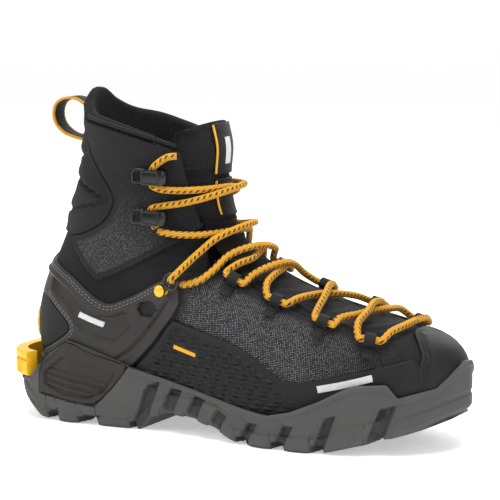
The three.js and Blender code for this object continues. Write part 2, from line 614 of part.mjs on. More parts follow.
const TONGUE_COLUMNS = [-0.32, -0.24, -0.18, -0.12, -0.06, 0, 0.06, 0.12, 0.18, 0.24, 0.32];
function tonguePiece(edge, rows, outer, wing) {
  const columns = TONGUE_COLUMNS.filter((w) => Math.abs(w) <= edge).map((w) => 1 + w);
  const depth = (w) => mix(outer, wing, smooth(0.12, 0.24, Math.abs(w - 1)));
  return shell(columns, rows, (w) => -depth(w), (w) => -depth(w) - TONGUE);
}
const WING = clothEnd + 2 * GAP;
place('tongue_flex', tonguePiece(0.18, [0.548, 0.58, 0.615, 0.65, 0.69], clothEnd, clothEnd), 'black');
place('tongue_upper', tonguePiece(0.32, [0.698, 0.73, 0.765, 0.802], clothTop - 0.3, WING), 'knit', cuff);
const tip = new THREE.Group();
cuff.add(tip);
place('tongue_tip', tonguePiece(0.24, [0.812, 0.86, 0.9, 0.94, 0.985], clothTop - 0.3, clothTop - 0.3), 'knit', tip);
const STRIP_COLUMNS = [0.905, 0.94, 1, 1.06, 1.095];
const STRIP_THICKNESS = 0.9;
const strip = (rows) => shell(STRIP_COLUMNS, rows, () => -0.2, () => -0.2 - STRIP_THICKNESS);
place('tongue_strip_lower', strip([0.7, 0.73, 0.765, 0.8]), 'black', cuff);
place('tongue_strip_upper', strip([0.814, 0.86, 0.9, 0.94, 0.983]), 'black', tip);

// ---------------------------------------------------------------- lace hardware
// A local frame on the upper: x forwards along the ring, y outwards, z up.
function fixture(side, t, v, lift, turn = 0) {
  const w = ringStation(side, t);
  const out = skinNormal(w, v);
  const ahead = skinPoint(w - side * STEP, v).sub(skinPoint(w + side * STEP, v)).normalize();
  const forward = ahead.clone().addScaledVector(out, -ahead.dot(out)).normalize();
  const up = new THREE.Vector3().crossVectors(forward, out).normalize();
  if (up.z < 0) up.negate();
  const holder = new THREE.Group();
  const right = new THREE.Vector3().crossVectors(up, forward).normalize();
  const basis = new THREE.Matrix4().makeBasis(forward, right, up);
  holder.quaternion.setFromRotationMatrix(basis);
  holder.rotateY(turn);
  holder.position.copy(onSkin(w, v, lift));
  return holder;
}
const laceHole = LACE / 2 + GAP + 0.15;
// Drawn round the lace, with its height along y and its sewn tail along x.
function webLoop(side) {
  const outer = laceHole + WEB;
  const shape = new THREE.Shape();
  shape.absarc(0, 0, outer, -Math.PI / 2, Math.PI, false);
  shape.lineTo(-outer, -outer + WEB);
  shape.lineTo(-LOOP_TAIL, -outer + WEB);
  shape.lineTo(-LOOP_TAIL, -outer);
  shape.closePath();
  shape.holes.push(new THREE.Path().absarc(0, 0, laceHole, 0, 2 * Math.PI, true));
  const geometry = new THREE.ExtrudeGeometry(shape, { depth: LOOP_LENGTH, bevelEnabled: false, curveSegments: 5 });
  geometry.translate(0, 0, -LOOP_LENGTH / 2);
  if (side < 0) geometry.rotateY(Math.PI);
  return geometry;
}
// Where the lace runs through each webbing loop: front and back end, [t, v, t, v], toe to ankle.
const LOOPS = [
  [0.810, 0.245, 0.782, 0.258], [0.768, 0.315, 0.763, 0.345], [0.767, 0.418, 0.755, 0.447], [0.740, 0.500, 0.730, 0.525],
];
const laceSeat = laceHole + WEB - clothTop + GAP + 0.3;
function loopFrame(i, side) {
  const [frontT, frontV, backT, backV] = LOOPS[i];
  const front = onSkin(ringStation(side, frontT), frontV, laceSeat);
  const back = onSkin(ringStation(side, backT), backV, laceSeat);
  const out = skinNormal(ringStation(side, (frontT + backT) / 2), (frontV + backV) / 2);
  const forward = front.clone().sub(back).normalize();
  out.addScaledVector(forward, -out.dot(forward)).normalize();
  return { centre: front.add(back).multiplyScalar(0.5), forward, out };
}
LOOPS.forEach((_, i) => {
  for (const [name, side] of Object.entries(SIDES)) {
    const { centre, forward, out } = loopFrame(i, side);
    const across = new THREE.Vector3().crossVectors(out, forward);
    // The tail lies down the side of the upper, away from the throat.
    const holder = new THREE.Group();
    holder.quaternion.setFromRotationMatrix(new THREE.Matrix4().makeBasis(across, out, forward));
    holder.position.copy(centre);
    boot.add(holder);
    place(`web_loop_${i + 1}_${name}`, webLoop(across.z > 0 ? 1 : -1), 'black', holder);
  }
});

// Open hooks: a base plate folded forwards over the lace.
const hookSeat = GAP + HOOK_PLATE + GAP + LACE / 2;
const HOOKS = { upper: [0.606, 0.811], lower: [0.6, 0.694] };
function hook(side) {
  const gap = LACE + 2 * GAP + 0.3;
  const roof = HOOK_PLATE + gap;
  const bend = gap / 2 + HOOK_PLATE;
  const shape = new THREE.Shape();
  shape.moveTo(-HOOK_BASE + HOOK_LENGTH / 2, 0);
  shape.lineTo(HOOK_LENGTH / 2, 0);
  shape.absarc(HOOK_LENGTH / 2, bend, bend, -Math.PI / 2, Math.PI / 2, false);
  shape.lineTo(-HOOK_LENGTH / 2, roof + HOOK_PLATE);
  shape.lineTo(-HOOK_LENGTH / 2, roof);
  shape.lineTo(HOOK_LENGTH / 2, roof);
  shape.absarc(HOOK_LENGTH / 2, bend, gap / 2, Math.PI / 2, -Math.PI / 2, true);
  shape.lineTo(-HOOK_BASE + HOOK_LENGTH / 2, HOOK_PLATE);
  shape.closePath();
  const geometry = new THREE.ExtrudeGeometry(shape, { depth: HOOK_WIDTH, bevelEnabled: false, curveSegments: 4 });
  geometry.translate(0, 0, -HOOK_WIDTH / 2);
  if (side < 0) geometry.rotateX(Math.PI);
  return geometry;
}
for (const [level, [t, v]] of Object.entries(HOOKS)) {
  for (const [name, side] of Object.entries(SIDES)) {
    const holder = fixture(side, t, v, GAP + 0.25);
    cuff.add(holder);
    place(`hook_${level}_${name}`, hook(side), 'metal', holder);
  }
}

// Ankle lace ring: a flat link that swivels on a rivet at the end of the heel frame.
const RIVET = [0.508, 0.442];
const RING_LIFT = 3.6;
const RING_ANGLE = 0.75;          // direction of the eye above the forward direction
const laceTurn = LACE / 2 + GAP;  // lace centre to the edge it turns over
// Up through the ring's eye and over its rim, as points of the lace.
function throughEye(side) {
  const holder = fixture(side, RIVET[0], RIVET[1], 0);
  holder.updateMatrixWorld(true);
  const top = RING_LIFT + RING_THICKNESS;
  const path = [[RING_EYE - laceTurn, RING_LIFT - 0.1], [RING_EYE - laceTurn, top - 0.4]];
  for (const turn of [0.35, 0.8, 1.25]) {
    path.push([RING_EYE - laceTurn * Math.cos(turn), top + laceTurn * Math.sin(turn)]);
  }
  path.push([RING_EYE + RING_BAR + 1, top + laceTurn + 0.2]);
  return path.map(([reach, height]) => {
    const r = RING_REACH + reach;
    return holder.localToWorld(new THREE.Vector3(r * Math.cos(RING_ANGLE), side * height, r * Math.sin(RING_ANGLE)));
  });
}
for (const [name, side] of Object.entries(SIDES)) {
  const [t, v] = RIVET;
  const holder = fixture(side, t, v, 0);
  boot.add(holder);
  const head = RING_LIFT + RING_THICKNESS + RUNNING;
  const profile = [
    [0, 0.3], [RIVET_SHAFT + 1.4, 0.3], [RIVET_SHAFT + 1.4, RING_LIFT - RUNNING], [RIVET_SHAFT, RING_LIFT - RUNNING],
    [RIVET_SHAFT, head], [RIVET_HEAD, head], [RIVET_HEAD, head + 0.8], [RIVET_HEAD * 0.7, head + 1.5], [0, head + 1.7],
  ];
  const rivet = new THREE.LatheGeometry(profile.map(([r, h]) => new THREE.Vector2(r, h)), 12);
  if (side < 0) rivet.rotateX(Math.PI);
  place(`rivet_${name}`, rivet, 'yellow', holder);
  const eye = new THREE.Vector2(Math.cos(RING_ANGLE), Math.sin(RING_ANGLE)).multiplyScalar(RING_REACH);
  const rim = RING_EYE + RING_BAR;
  const hub = RIVET_SHAFT + RUNNING + 1.3;
  const link = new THREE.Shape();
  const tangent = Math.acos((rim - hub) / RING_REACH);
  link.absarc(eye.x, eye.y, rim, RING_ANGLE - (Math.PI - tangent), RING_ANGLE + (Math.PI - tangent), false);
  link.absarc(0, 0, hub, RING_ANGLE + (Math.PI - tangent), RING_ANGLE - (Math.PI - tangent), false);
  link.closePath();
  link.holes.push(new THREE.Path().absarc(eye.x, eye.y, RING_EYE, 0, 2 * Math.PI, true));
  link.holes.push(new THREE.Path().absarc(0, 0, RIVET_SHAFT + RUNNING, 0, 2 * Math.PI, true));
  const ring = new THREE.ExtrudeGeometry(link, { depth: RING_THICKNESS, bevelEnabled: false, curveSegments: 6 });
  // The link is drawn in x-z; its thickness points outwards.
  ring.rotateX(Math.PI / 2);
  ring.translate(0, side > 0 ? RING_LIFT + RING_THICKNESS : -RING_LIFT, 0);
  place(`lace_ring_${name}`, ring, 'metal', holder);
}

// ---------------------------------------------------------------- lace
// Each row is a point of the route: [t, v, lift, lift of the strand that mirrors it]. t over 1
// has crossed to the medial side. 'loop' rows run through a webbing loop, front to back.
const eyeLow = 0.75;
const LACE_FOOT = [
  [0.998, 0.300, 2.2, 2.2], [0.92, 0.290, 2.4, 2.4], [0.86, 0.272, 2.8, 2.8],
  ['loop', 0, -1],
  [0.822, 0.312, 2.6, 2.4], [0.900, 0.352, 4.2, 1.2], [1.000, 0.377, 5.8, 0.6], [1.100, 0.369, 4.2, 1.2],
  [1.185, 0.345, 2.6, 2.4],
  ['loop', 1, 1],
  [1.190, 0.388, 2.4, 2.6], [1.100, 0.432, 1.2, 4.2], [1.000, 0.457, 0.6, 5.8], [0.900, 0.456, 1.2, 4.2],
  [0.825, 0.440, 2.4, 2.6],
  ['loop', 2, -1],
  [0.810, 0.494, 2.4, 2.6], [0.900, 0.530, 1.2, 4.2], [1.000, 0.545, 0.6, 5.8], [1.100, 0.545, 1.2, 4.2],
  [1.190, 0.527, 2.4, 2.6],
  ['loop', 3, 1],
  [1.205, 0.560, 3.2, 2.5], [1.100, 0.583, 5.4, 1.0], [1.000, 0.600, 6.0, 0.7], [0.900, 0.603, 5.4, 1.0],
  [0.800, 0.588, 3.0, 2.0], [0.710, 0.545, 2.2, 2.2], [0.640, 0.505, 1.4, 1.4], [0.600, 0.487, eyeLow, eyeLow],
  [0.572, 0.478, eyeLow, eyeLow],
];
const LACE_ANKLE = [
  ['eye'],
  [0.660, 0.566, 5.4, 5.4], [0.720, 0.602, 4.6, 3.6], [0.790, 0.632, 6.0, 1.8], [0.890, 0.652, 6.6, 1.0],
  [1.000, 0.660, 6.6, 0.9], [1.110, 0.658, 6.6, 1.0], [1.200, 0.652, 6.0, 2.0], [1.280, 0.648, 4.4, 3.0],
  [1.350, 0.650, 3.4, 3.4],
  [1.392, 0.656, hookSeat, hookSeat],
];
const LACE_CUFF = [
  [0.604, 0.664, hookSeat, hookSeat], [0.598, 0.694, hookSeat, hookSeat], [0.604, 0.720, hookSeat, hookSeat],
  [0.650, 0.730, 3.6, 3.6], [0.720, 0.738, 3.2, 3.2], [0.800, 0.750, 5.0, 3.0], [0.900, 0.766, 7.4, 2.6],
  [1.000, 0.776, 7.8, 2.6], [1.100, 0.777, 7.4, 2.6], [1.200, 0.775, 5.0, 3.0], [1.300, 0.774, 3.2, 3.2],
  [1.370, 0.779, 3.8, 3.8], [1.394, 0.790, hookSeat, hookSeat], [1.396, 0.811, hookSeat, hookSeat],
  [1.390, 0.838, hookSeat, hookSeat], [1.360, 0.862, 3.4, 3.4], [1.330, 0.874, 3.0, 3.0], [1.300, 0.876, 2.9, 2.9],
];
const LOOP_RUN = LOOP_LENGTH / 2 + 0.5;   // straight lace each side of a loop's middle
function throughLoop(i, side) {
  const { centre, forward } = loopFrame(i, side);
  return [LOOP_RUN + 2.5, LOOP_RUN, -LOOP_RUN, -LOOP_RUN - 2.5]
    .map((reach) => centre.clone().addScaledVector(forward, reach));
}
const LACE_SIDES = 8;
const MOST_TURN = 0.2;            // turn between two rings of the lace, in radians
const MOST_RUN = 16;              // longest straight step
function routeOf(rows, mirrored) {
  const points = rows.flatMap(([t, v, lift, mirrorLift]) => {
    if (t === 'eye') return throughEye(mirrored ? 1 : -1);
    if (t === 'loop') return throughLoop(v, mirrored ? -lift : lift);
    return [onSkin(mirrored ? 2 - t : t, v, mirrored ? mirrorLift : lift)];
  });
  const path = new THREE.CatmullRomCurve3(points, false, 'centripetal');
  const fine = path.getPoints(points.length * 6);
  const kept = [fine[0]];
  let from = fine[1].clone().sub(fine[0]).normalize();
  for (let i = 1; i < fine.length - 1; i++) {
    const to = fine[i + 1].clone().sub(fine[i]).normalize();
    if (from.angleTo(to) > MOST_TURN || fine[i].distanceTo(kept[kept.length - 1]) > MOST_RUN) {
      kept.push(fine[i]);
      from = to;
    }
  }
  return [...kept, fine[fine.length - 1]];
}
// A round cord along a line of points, with the same facet kept on top all the way.
function cord(rows, mirrored) {
  const line = routeOf(rows, mirrored);
  const points = [];
  const faces = [];
  const last = line.length - 1;
  const side = new THREE.Vector3(0, 0, 1);
  line.forEach((p, i) => {
    const heading = line[Math.min(i + 1, last)].clone().sub(line[Math.max(i - 1, 0)]).normalize();
    side.addScaledVector(heading, -side.dot(heading)).normalize();
    const other = new THREE.Vector3().crossVectors(heading, side);
    for (let k = 0; k < LACE_SIDES; k++) {
      const a = (2 * Math.PI * k) / LACE_SIDES;
      points.push(p.clone()
        .addScaledVector(side, (LACE / 2) * Math.cos(a))
        .addScaledVector(other, (LACE / 2) * Math.sin(a)));
    }
    if (i === last) return;
    for (let k = 0; k < LACE_SIDES; k++) {
      const a = i * LACE_SIDES + k;
      const b = i * LACE_SIDES + ((k + 1) % LACE_SIDES);
      faces.push([a, b, b + LACE_SIDES, a + LACE_SIDES]);
    }
  });
  for (let k = 1; k < LACE_SIDES - 1; k++) {
    const e = last * LACE_SIDES;
    faces.push([0, k + 1, k], [e, e + k, e + k + 1]);
  }
  return fromQuads(points, faces);
}
for (const [letter, mirrored] of [['a', false], ['b', true]]) {
  place(`lace_foot_${letter}`, cord(LACE_FOOT, mirrored), 'lace');
  place(`lace_ankle_${letter}`, cord(LACE_ANKLE, mirrored), 'lace');
  place(`lace_cuff_${letter}`, cord(LACE_CUFF, mirrored), 'lace', cuff);
}

// ---------------------------------------------------------------- heel pull loop
const PULL = [[45.6, 204], [38, 207.5], [29, 207], [23.5, 203.5], [21.5, 197], [23.5, 190], [30, 184.5], [38, 182], [45, 181]];
function pullLoop() {
  const line = new THREE.CatmullRomCurve3(PULL.map(([x, z]) => new THREE.Vector3(x * kx, gradeZ(z), 0)));
  const points = line.getSpacedPoints(14);
  const offset = (k, by) => {
    const tangent = line.getTangentAt(k / 14);
    return new THREE.Vector2(points[k].x - tangent.y * by, points[k].y + tangent.x * by);
  };
  const outside = points.map((_, k) => offset(k, PULL_THICKNESS / 2));
  const inside = points.map((_, k) => offset(k, -PULL_THICKNESS / 2)).reverse();
  const geometry = new THREE.ExtrudeGeometry(new THREE.Shape([...outside, ...inside]), {
    depth: PULL_WIDTH, bevelEnabled: false,
  });
  geometry.rotateX(Math.PI / 2);
  geometry.translate(0, PULL_WIDTH / 2, 0);
  return toSolid(geometry).subtract(lastSolid(ACHILLES_PUFF + GAP + PULL_PLAY));
}
place('pull_loop', pullLoop(), 'black', cuff);

// ---------------------------------------------------------------- resting place
// The origin is on the ground, under the middle of the boot.
boot.updateMatrixWorld(true);
const box = new THREE.Box3().setFromObject(boot, true);
boot.position.set(-(box.min.x + box.max.x) / 2, -(box.min.y + box.max.y) / 2, -box.min.z);
boot.updateMatrixWorld(true);

export default boot;
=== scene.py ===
"""A right-foot mountaineering boot: the finished surfaces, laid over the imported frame.

Sizes are in millimetres on the boot: x from the back of the sole to the toe, y from the
outer (negative) to the inner side, z up from the ground.
"""

import math

import bpy
import numpy as np
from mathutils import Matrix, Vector
from mathutils.geometry import delaunay_2d_cdt
from mathutils.kdtree import KDTree


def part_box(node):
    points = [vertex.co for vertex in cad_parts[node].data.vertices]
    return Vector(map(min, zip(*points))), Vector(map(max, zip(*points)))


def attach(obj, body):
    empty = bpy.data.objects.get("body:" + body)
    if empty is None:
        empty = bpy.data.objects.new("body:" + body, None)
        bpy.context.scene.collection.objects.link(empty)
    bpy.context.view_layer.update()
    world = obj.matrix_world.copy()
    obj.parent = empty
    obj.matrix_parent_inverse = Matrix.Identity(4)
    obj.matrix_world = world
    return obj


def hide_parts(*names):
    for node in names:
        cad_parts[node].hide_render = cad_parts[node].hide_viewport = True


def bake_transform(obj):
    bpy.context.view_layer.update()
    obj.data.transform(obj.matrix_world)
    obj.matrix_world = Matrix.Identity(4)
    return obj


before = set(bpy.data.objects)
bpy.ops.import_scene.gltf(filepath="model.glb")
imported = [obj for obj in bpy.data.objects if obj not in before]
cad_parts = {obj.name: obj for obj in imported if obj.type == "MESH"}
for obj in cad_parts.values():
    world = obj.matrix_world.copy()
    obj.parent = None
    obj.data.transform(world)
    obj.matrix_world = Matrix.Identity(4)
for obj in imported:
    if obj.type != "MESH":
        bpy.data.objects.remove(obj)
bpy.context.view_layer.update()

# ---------------------------------------------------------------- camera, floor and light
# The boot stands on a plain pale floor in soft studio light, seen from its outer side and
# a little from the front.
sole_low, sole_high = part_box("outsole")
LENGTH_SCALE = (sole_high.x - sole_low.x) / 0.310
WIDTH_SCALE = (sole_high.y - sole_low.y) / 0.110
START = np.array([sole_low.x, (sole_low.y + sole_high.y) / 2, sole_low.z])


def metres(points):
    """Boot millimetres to the frame's metres."""
    return np.asarray(points, float) * 0.001 + START


AZIMUTH, ELEVATION, DISTANCE = math.radians(27), math.radians(8), 1.5
target = Vector(metres([155, 0, 110]))
backwards = Vector((
    math.sin(AZIMUTH) * math.cos(ELEVATION),
    -math.cos(AZIMUTH) * math.cos(ELEVATION),
    math.sin(ELEVATION),
))
camera = bpy.data.objects.new("camera", bpy.data.cameras.new("camera"))
camera.data.lens = 170
camera.data.sensor_width = 36
camera.data.shift_x = 0.02
camera.data.shift_y = 0.014
camera.location = target + backwards * DISTANCE
camera.rotation_euler = (-backwards).to_track_quat("-Z", "Y").to_euler()
bpy.context.scene.collection.objects.link(camera)
bpy.context.scene.camera = camera
bpy.context.scene.view_settings.view_transform = "Standard"


def softbox(name, place, aim, size, power):
    light = bpy.data.lights.new(name, "AREA")
    light.energy = power
    light.shape = "RECTANGLE"
    light.size, light.size_y = size
    holder = bpy.data.objects.new(name, light)
    holder.location = place
    holder.rotation_euler = (Vector(aim) - Vector(place)).to_track_quat("-Z", "Y").to_euler()
    bpy.context.scene.collection.objects.link(holder)


softbox("overhead", (0.1, -0.1, 1.4), (0, 0, 0.05), (1.0, 0.9), 22)
softbox("front_left", (-1.1, -1.1, 0.9), (0, 0, 0.08), (0.6, 0.8), 9)
softbox("toe_side", (1.4, -0.5, 0.7), (0.05, 0, 0.08), (0.5, 0.9), 5.5)
softbox("behind", (-0.3, 1.4, 0.9), (0, 0, 0.1), (1.2, 0.8), 9)

world = bpy.data.worlds.new("studio")
world.use_nodes = True
world.node_tree.nodes["Background"].inputs["Color"].default_value = (1, 1, 1, 1)
world.node_tree.nodes["Background"].inputs["Strength"].default_value = 0.42
bpy.context.scene.world = world


class Value:
    """A socket that takes part in arithmetic: each operator adds its Math node."""

    def __init__(self, finish, socket):
        self.finish, self.socket = finish, socket

    def maths(self, operation, *terms, clamp=False):
        settings = {"operation": operation, "use_clamp": clamp}
        return self.finish.node("ShaderNodeMath", settings, dict(enumerate(terms)))

    def __add__(self, other):
        return self.maths("ADD", self, other)

    def __sub__(self, other):
        return self.maths("SUBTRACT", self, other)

    def __rsub__(self, other):
        return self.maths("SUBTRACT", other, self)

    def __mul__(self, other):
        return self.maths("MULTIPLY", self, other)

    __radd__ = __add__
    __rmul__ = __mul__

    def wave(self, pitch):
        """1 and -1 by turns, once each `pitch`."""
        return self.maths("SINE", self * (2 * math.pi / pitch))

    def above(self, edge, soft):
        """0 below edge and 1 above it, over a width of `soft`."""
        return self.maths("MULTIPLY_ADD", self - edge, 1 / soft, 0.5, clamp=True)

    def at_least(self, other):
        return self.maths("MAXIMUM", self, other)


class Finish:
    """One material: a Principled shader and the nodes that vary it."""

    def __init__(self, name, **constants):
        self.material = bpy.data.materials.new(name)
        self.material.use_nodes = True
        self.tree = self.material.node_tree
        self.shader = self.tree.nodes["Principled BSDF"]
        for socket, value in constants.items():
            self.shader.inputs[socket.replace("_", " ")].default_value = value
        if "Metallic" not in constants:
            self.shader.inputs["Specular IOR Level"].default_value = 0.28

    def node(self, kind, settings, inputs, output=0):
        made = self.tree.nodes.new(kind)
        for key, value in settings.items():
            setattr(made, key, value)
        for key, value in inputs.items():
            if isinstance(value, Value):
                self.tree.links.new(value.socket, made.inputs[key])
            else:
                made.inputs[key].default_value = value
        return Value(self, made.outputs[output])

    def where(self):
        """Place on the boot, in millimetres."""
        place = self.node("ShaderNodeTexCoord", {}, {}, "Object")
        return self.node("ShaderNodeVectorMath", {"operation": "SCALE"}, {0: place, "Scale": 1000.0})

    def stored(self, name):
        """A three-number measure kept on the mesh, taken apart."""
        return self.parts(self.node("ShaderNodeAttribute", {"attribute_name": name}, {}, "Vector"))

    def parts(self, place):
        return [self.node("ShaderNodeSeparateXYZ", {}, {0: place}, i) for i in range(3)]

    def mottle(self, place, size, detail=2.0):
        return self.node("ShaderNodeTexNoise", {}, {"Vector": place, "Scale": 1 / size, "Detail": detail})

    def cells(self, place, size):
        return self.node("ShaderNodeTexVoronoi", {}, {"Vector": place, "Scale": 1 / size})

    def blend(self, amount, low, high):
        low, high = [c if isinstance(c, Value) else (*c, 1.0) for c in (low, high)]
        return self.node("ShaderNodeMix", {"data_type": "RGBA"}, {0: amount, 6: low, 7: high}, 2)

    def colour(self, value):
        self.tree.links.new(value.socket, self.shader.inputs["Base Color"])
        return self

    def rough(self, value):
        self.tree.links.new(value.socket, self.shader.inputs["Roughness"])
        return self

    def relief(self, height, depth):
        """Bump from a height; depth in millimetres."""
        bump = self.node("ShaderNodeBump", {}, {"Height": height, "Distance": depth * 0.001})
        self.tree.links.new(bump.socket, self.shader.inputs["Normal"])
        return self


floor_mesh = bpy.data.meshes.new("floor")
floor_mesh.from_pydata([(-9, -9, 0), (9, -9, 0), (9, 9, 0), (-9, 9, 0)], [], [(0, 1, 2, 3)])
floor = bpy.data.objects.new("floor", floor_mesh)
floor.location.z = START[2]
bpy.context.scene.collection.objects.link(floor)
WHITE = (1, 1, 1, 1)
paper = Finish(
    "paper", Base_Color=(0.9, 0.9, 0.9, 1), Roughness=0.95, Emission_Color=WHITE, Emission_Strength=0.42,
)
floor_mesh.materials.append(paper.material)
drum = bpy.data.meshes.new("backdrop")
corners = [(8 * math.cos(a), 8 * math.sin(a)) for a in np.linspace(1.15, 2.95, 33)]
drum.from_pydata(
    [(x, y, z) for z in (-0.2, 7) for x, y in corners], [], [(k, k + 1, 34 + k, 33 + k) for k in range(32)],
)
glow = Finish("backdrop", Base_Color=(0, 0, 0, 1), Roughness=1, Emission_Color=WHITE, Emission_Strength=1)
drum.materials.append(glow.material)
backdrop = bpy.data.objects.new("backdrop", drum)
bpy.context.scene.collection.objects.link(backdrop)

# ---------------------------------------------------------------- laces
# One round braided cord, 4.5 mm thick, in six lengths: it zigzags up the throat through the
# webbing loops, turns over the swivelling rings at the ankle and then round the hooks. It is
# held all the way, so its line is the one chosen here. The ankle stretch bends with the cuff.
# Every upper piece follows the shape of the last: a fan of rings from the sole (v = 0) to
# the collar (v = 1); w is 0 at the heel, 1 at the toe and 2 at the heel again.
PROFILE = np.array([
    [0.0, 13, 40, 304, 27], [0.1, 10, 54, 307, 44], [0.2, 10, 68, 299, 62], [0.3, 13, 82, 272, 75],
    [0.4, 18, 96, 236, 83], [0.5, 24, 110, 198, 96], [0.6, 31, 125, 168, 114], [0.7, 39, 142, 150, 137],
    [0.8, 45, 162, 146, 160], [0.9, 47, 184, 147, 180], [1.0, 46, 208, 143, 198], [1.1, 45, 231, 141, 216],
])
GIRTH = np.array([
    [0.0, 36, 50, 0.16, 0.22, 9], [0.2, 38, 49, 0.20, 0.25, 8], [0.4, 36, 45, 0.26, 0.36, 5],
    [0.6, 36, 38, 0.40, 0.50, 2], [0.8, 38, 37, 0.50, 0.50, 0], [1.0, 41, 38, 0.50, 0.50, 0],
    [1.1, 42, 39, 0.50, 0.50, 0],
])
MEDIAL_WAIST, LATERAL_WAIST, ARCH_DROP = 0.12, 0.07, 8


def curve(rows, p):
    """Smooth curve through rows [parameter, values...], at many parameters."""
    p = np.atleast_1d(p)
    keys, values = rows[:, 0], rows[:, 1:]
    ahead, behind = np.r_[1:len(keys), len(keys) - 1], np.r_[0, 0:len(keys) - 1]
    slope = (values[ahead] - values[behind]) / (keys[ahead] - keys[behind])[:, None]
    i = np.clip(np.searchsorted(keys, p, side="right") - 1, 0, len(keys) - 2)
    step = (keys[i + 1] - keys[i])[:, None]
    s = np.clip((p - keys[i])[:, None] / step, 0, 1)
    up = (s**3 - 2 * s**2 + s) * step * slope[i]
    down = (s**3 - s**2) * step * slope[i + 1]
    return values[i] + (values[i + 1] - values[i]) * (3 * s**2 - 2 * s**3) + up + down


def smooth(low, high, x):
    t = np.clip((x - low) / (high - low), 0, 1)
    return t * t * (3 - 2 * t)


def ring_width(s, v, side):
    heel, ball, back_round, front_round, toe_shift = curve(GIRTH, v).T
    waist = np.where(side > 0, MEDIAL_WAIST, LATERAL_WAIST) * (1 - smooth(0.2, 0.6, v))
    waist = 1 - waist * np.exp(-(((s - 0.4) / 0.13) ** 2))
    half = (heel + (ball - heel) * smooth(0.25, 0.66, s)) * waist
    back = np.sqrt(np.clip(1 - (1 - np.clip(s / back_round, 0, 1)) ** 2, 0, 1))
    front = np.clip((s - (1 - front_round)) / front_round, 0, 1)
    nose = np.sqrt(np.clip(1 - front**2.2, 0, 1))
    return (side * half * back * nose + toe_shift * smooth(0.45, 1, s)) * WIDTH_SCALE


def bare_skin(w, v):
    around = np.mod(w, 2)
    side = np.where(around > 1, 1.0, -1.0)
    t = np.where(around > 1, 2 - around, around)
    s = (1 - np.cos(np.pi * t)) / 2
    back_x, back_z, front_x, front_z = curve(PROFILE, v).T
    drop = ARCH_DROP * np.sin(np.pi * s) * np.clip(1 - v, 0, 1) ** 2
    x = (back_x + (front_x - back_x) * s) * LENGTH_SCALE
    below = np.minimum(v, 0) * 140
    return np.stack([x, ring_width(s, v, side), back_z + (front_z - back_z) * s - drop + below], -1)


STEP = 0.004


def skin_normal(w, v):
    low = np.maximum(v - STEP, 0)
    along = bare_skin(w + STEP, v) - bare_skin(w - STEP, v)
    up = bare_skin(w, low + 2 * STEP) - bare_skin(w, low)
    out = np.cross(along, up)
    return out / np.linalg.norm(out, axis=-1, keepdims=True)


def skin(w, v, lift=0.0):
    """Points on the upper, `lift` millimetres outside its surface."""
    w, v = (np.atleast_1d(np.asarray(a, float)) for a in (w, v))
    lift = np.broadcast_to(lift, w.shape)
    return bare_skin(w, v) + skin_normal(w, v) * lift[:, None]


SIDES = {"lateral": -1, "medial": 1}


def on(side, stations):
    """Stations [t, v] as [w, v] on one side of the boot."""
    stations = np.array(stations, float)
    return stations if side < 0 else np.stack([2 - stations[:, 0], stations[:, 1]], -1)


def grid_faces(rows, columns, closed=False, offset=0):
    faces = []
    for i in range(rows - 1):
        for j in range(columns if closed else columns - 1):
            k = (j + 1) % columns
            a, b = i * columns + j + offset, i * columns + k + offset
            faces.append((a, b, b + columns, a + columns))
    return faces


def mesh_piece(name, points, faces, finish, body, replaces=(), slot=None, sharp=35, corners=None, **stored):
    """A mesh from boot millimetres, riding on a body and standing for its CAD nodes.

    corners is kept on the face corners as "strand", so that it can wrap round a cord.
    """
    mesh = bpy.data.meshes.new(name)
    mesh.from_pydata(metres(points).tolist(), [], [list(map(int, f)) for f in faces])
    if corners is not None:
        kept = mesh.attributes.new("strand", "FLOAT_VECTOR", "CORNER")
        kept.data.foreach_set("vector", np.asarray(corners, np.float32).ravel())
    mesh.validate()
    mesh.shade_smooth()
    mesh.set_sharp_from_angle(angle=math.radians(sharp))
    for key, values in stored.items():
        kept = mesh.attributes.new(key, "FLOAT_VECTOR", "POINT")
        kept.data.foreach_set("vector", np.asarray(values, np.float32).ravel())
    mesh.materials.append(finish.material)
    piece = bpy.data.objects.new(name, mesh)
    bpy.context.scene.collection.objects.link(piece)
    if isinstance(body, str):
        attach(piece, body)
    else:
        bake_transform(piece)
    if replaces:
        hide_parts(*([replaces] if isinstance(replaces, str) else replaces))
    return piece


def running(points):
    """Distance along a line at each of its points."""
    return np.r_[0, np.cumsum(np.linalg.norm(np.diff(points, axis=0), axis=1))]


def headings(points):
    """Unit directions along a line."""
    ahead = np.gradient(points, axis=0)
    return ahead / np.linalg.norm(ahead, axis=1, keepdims=True)


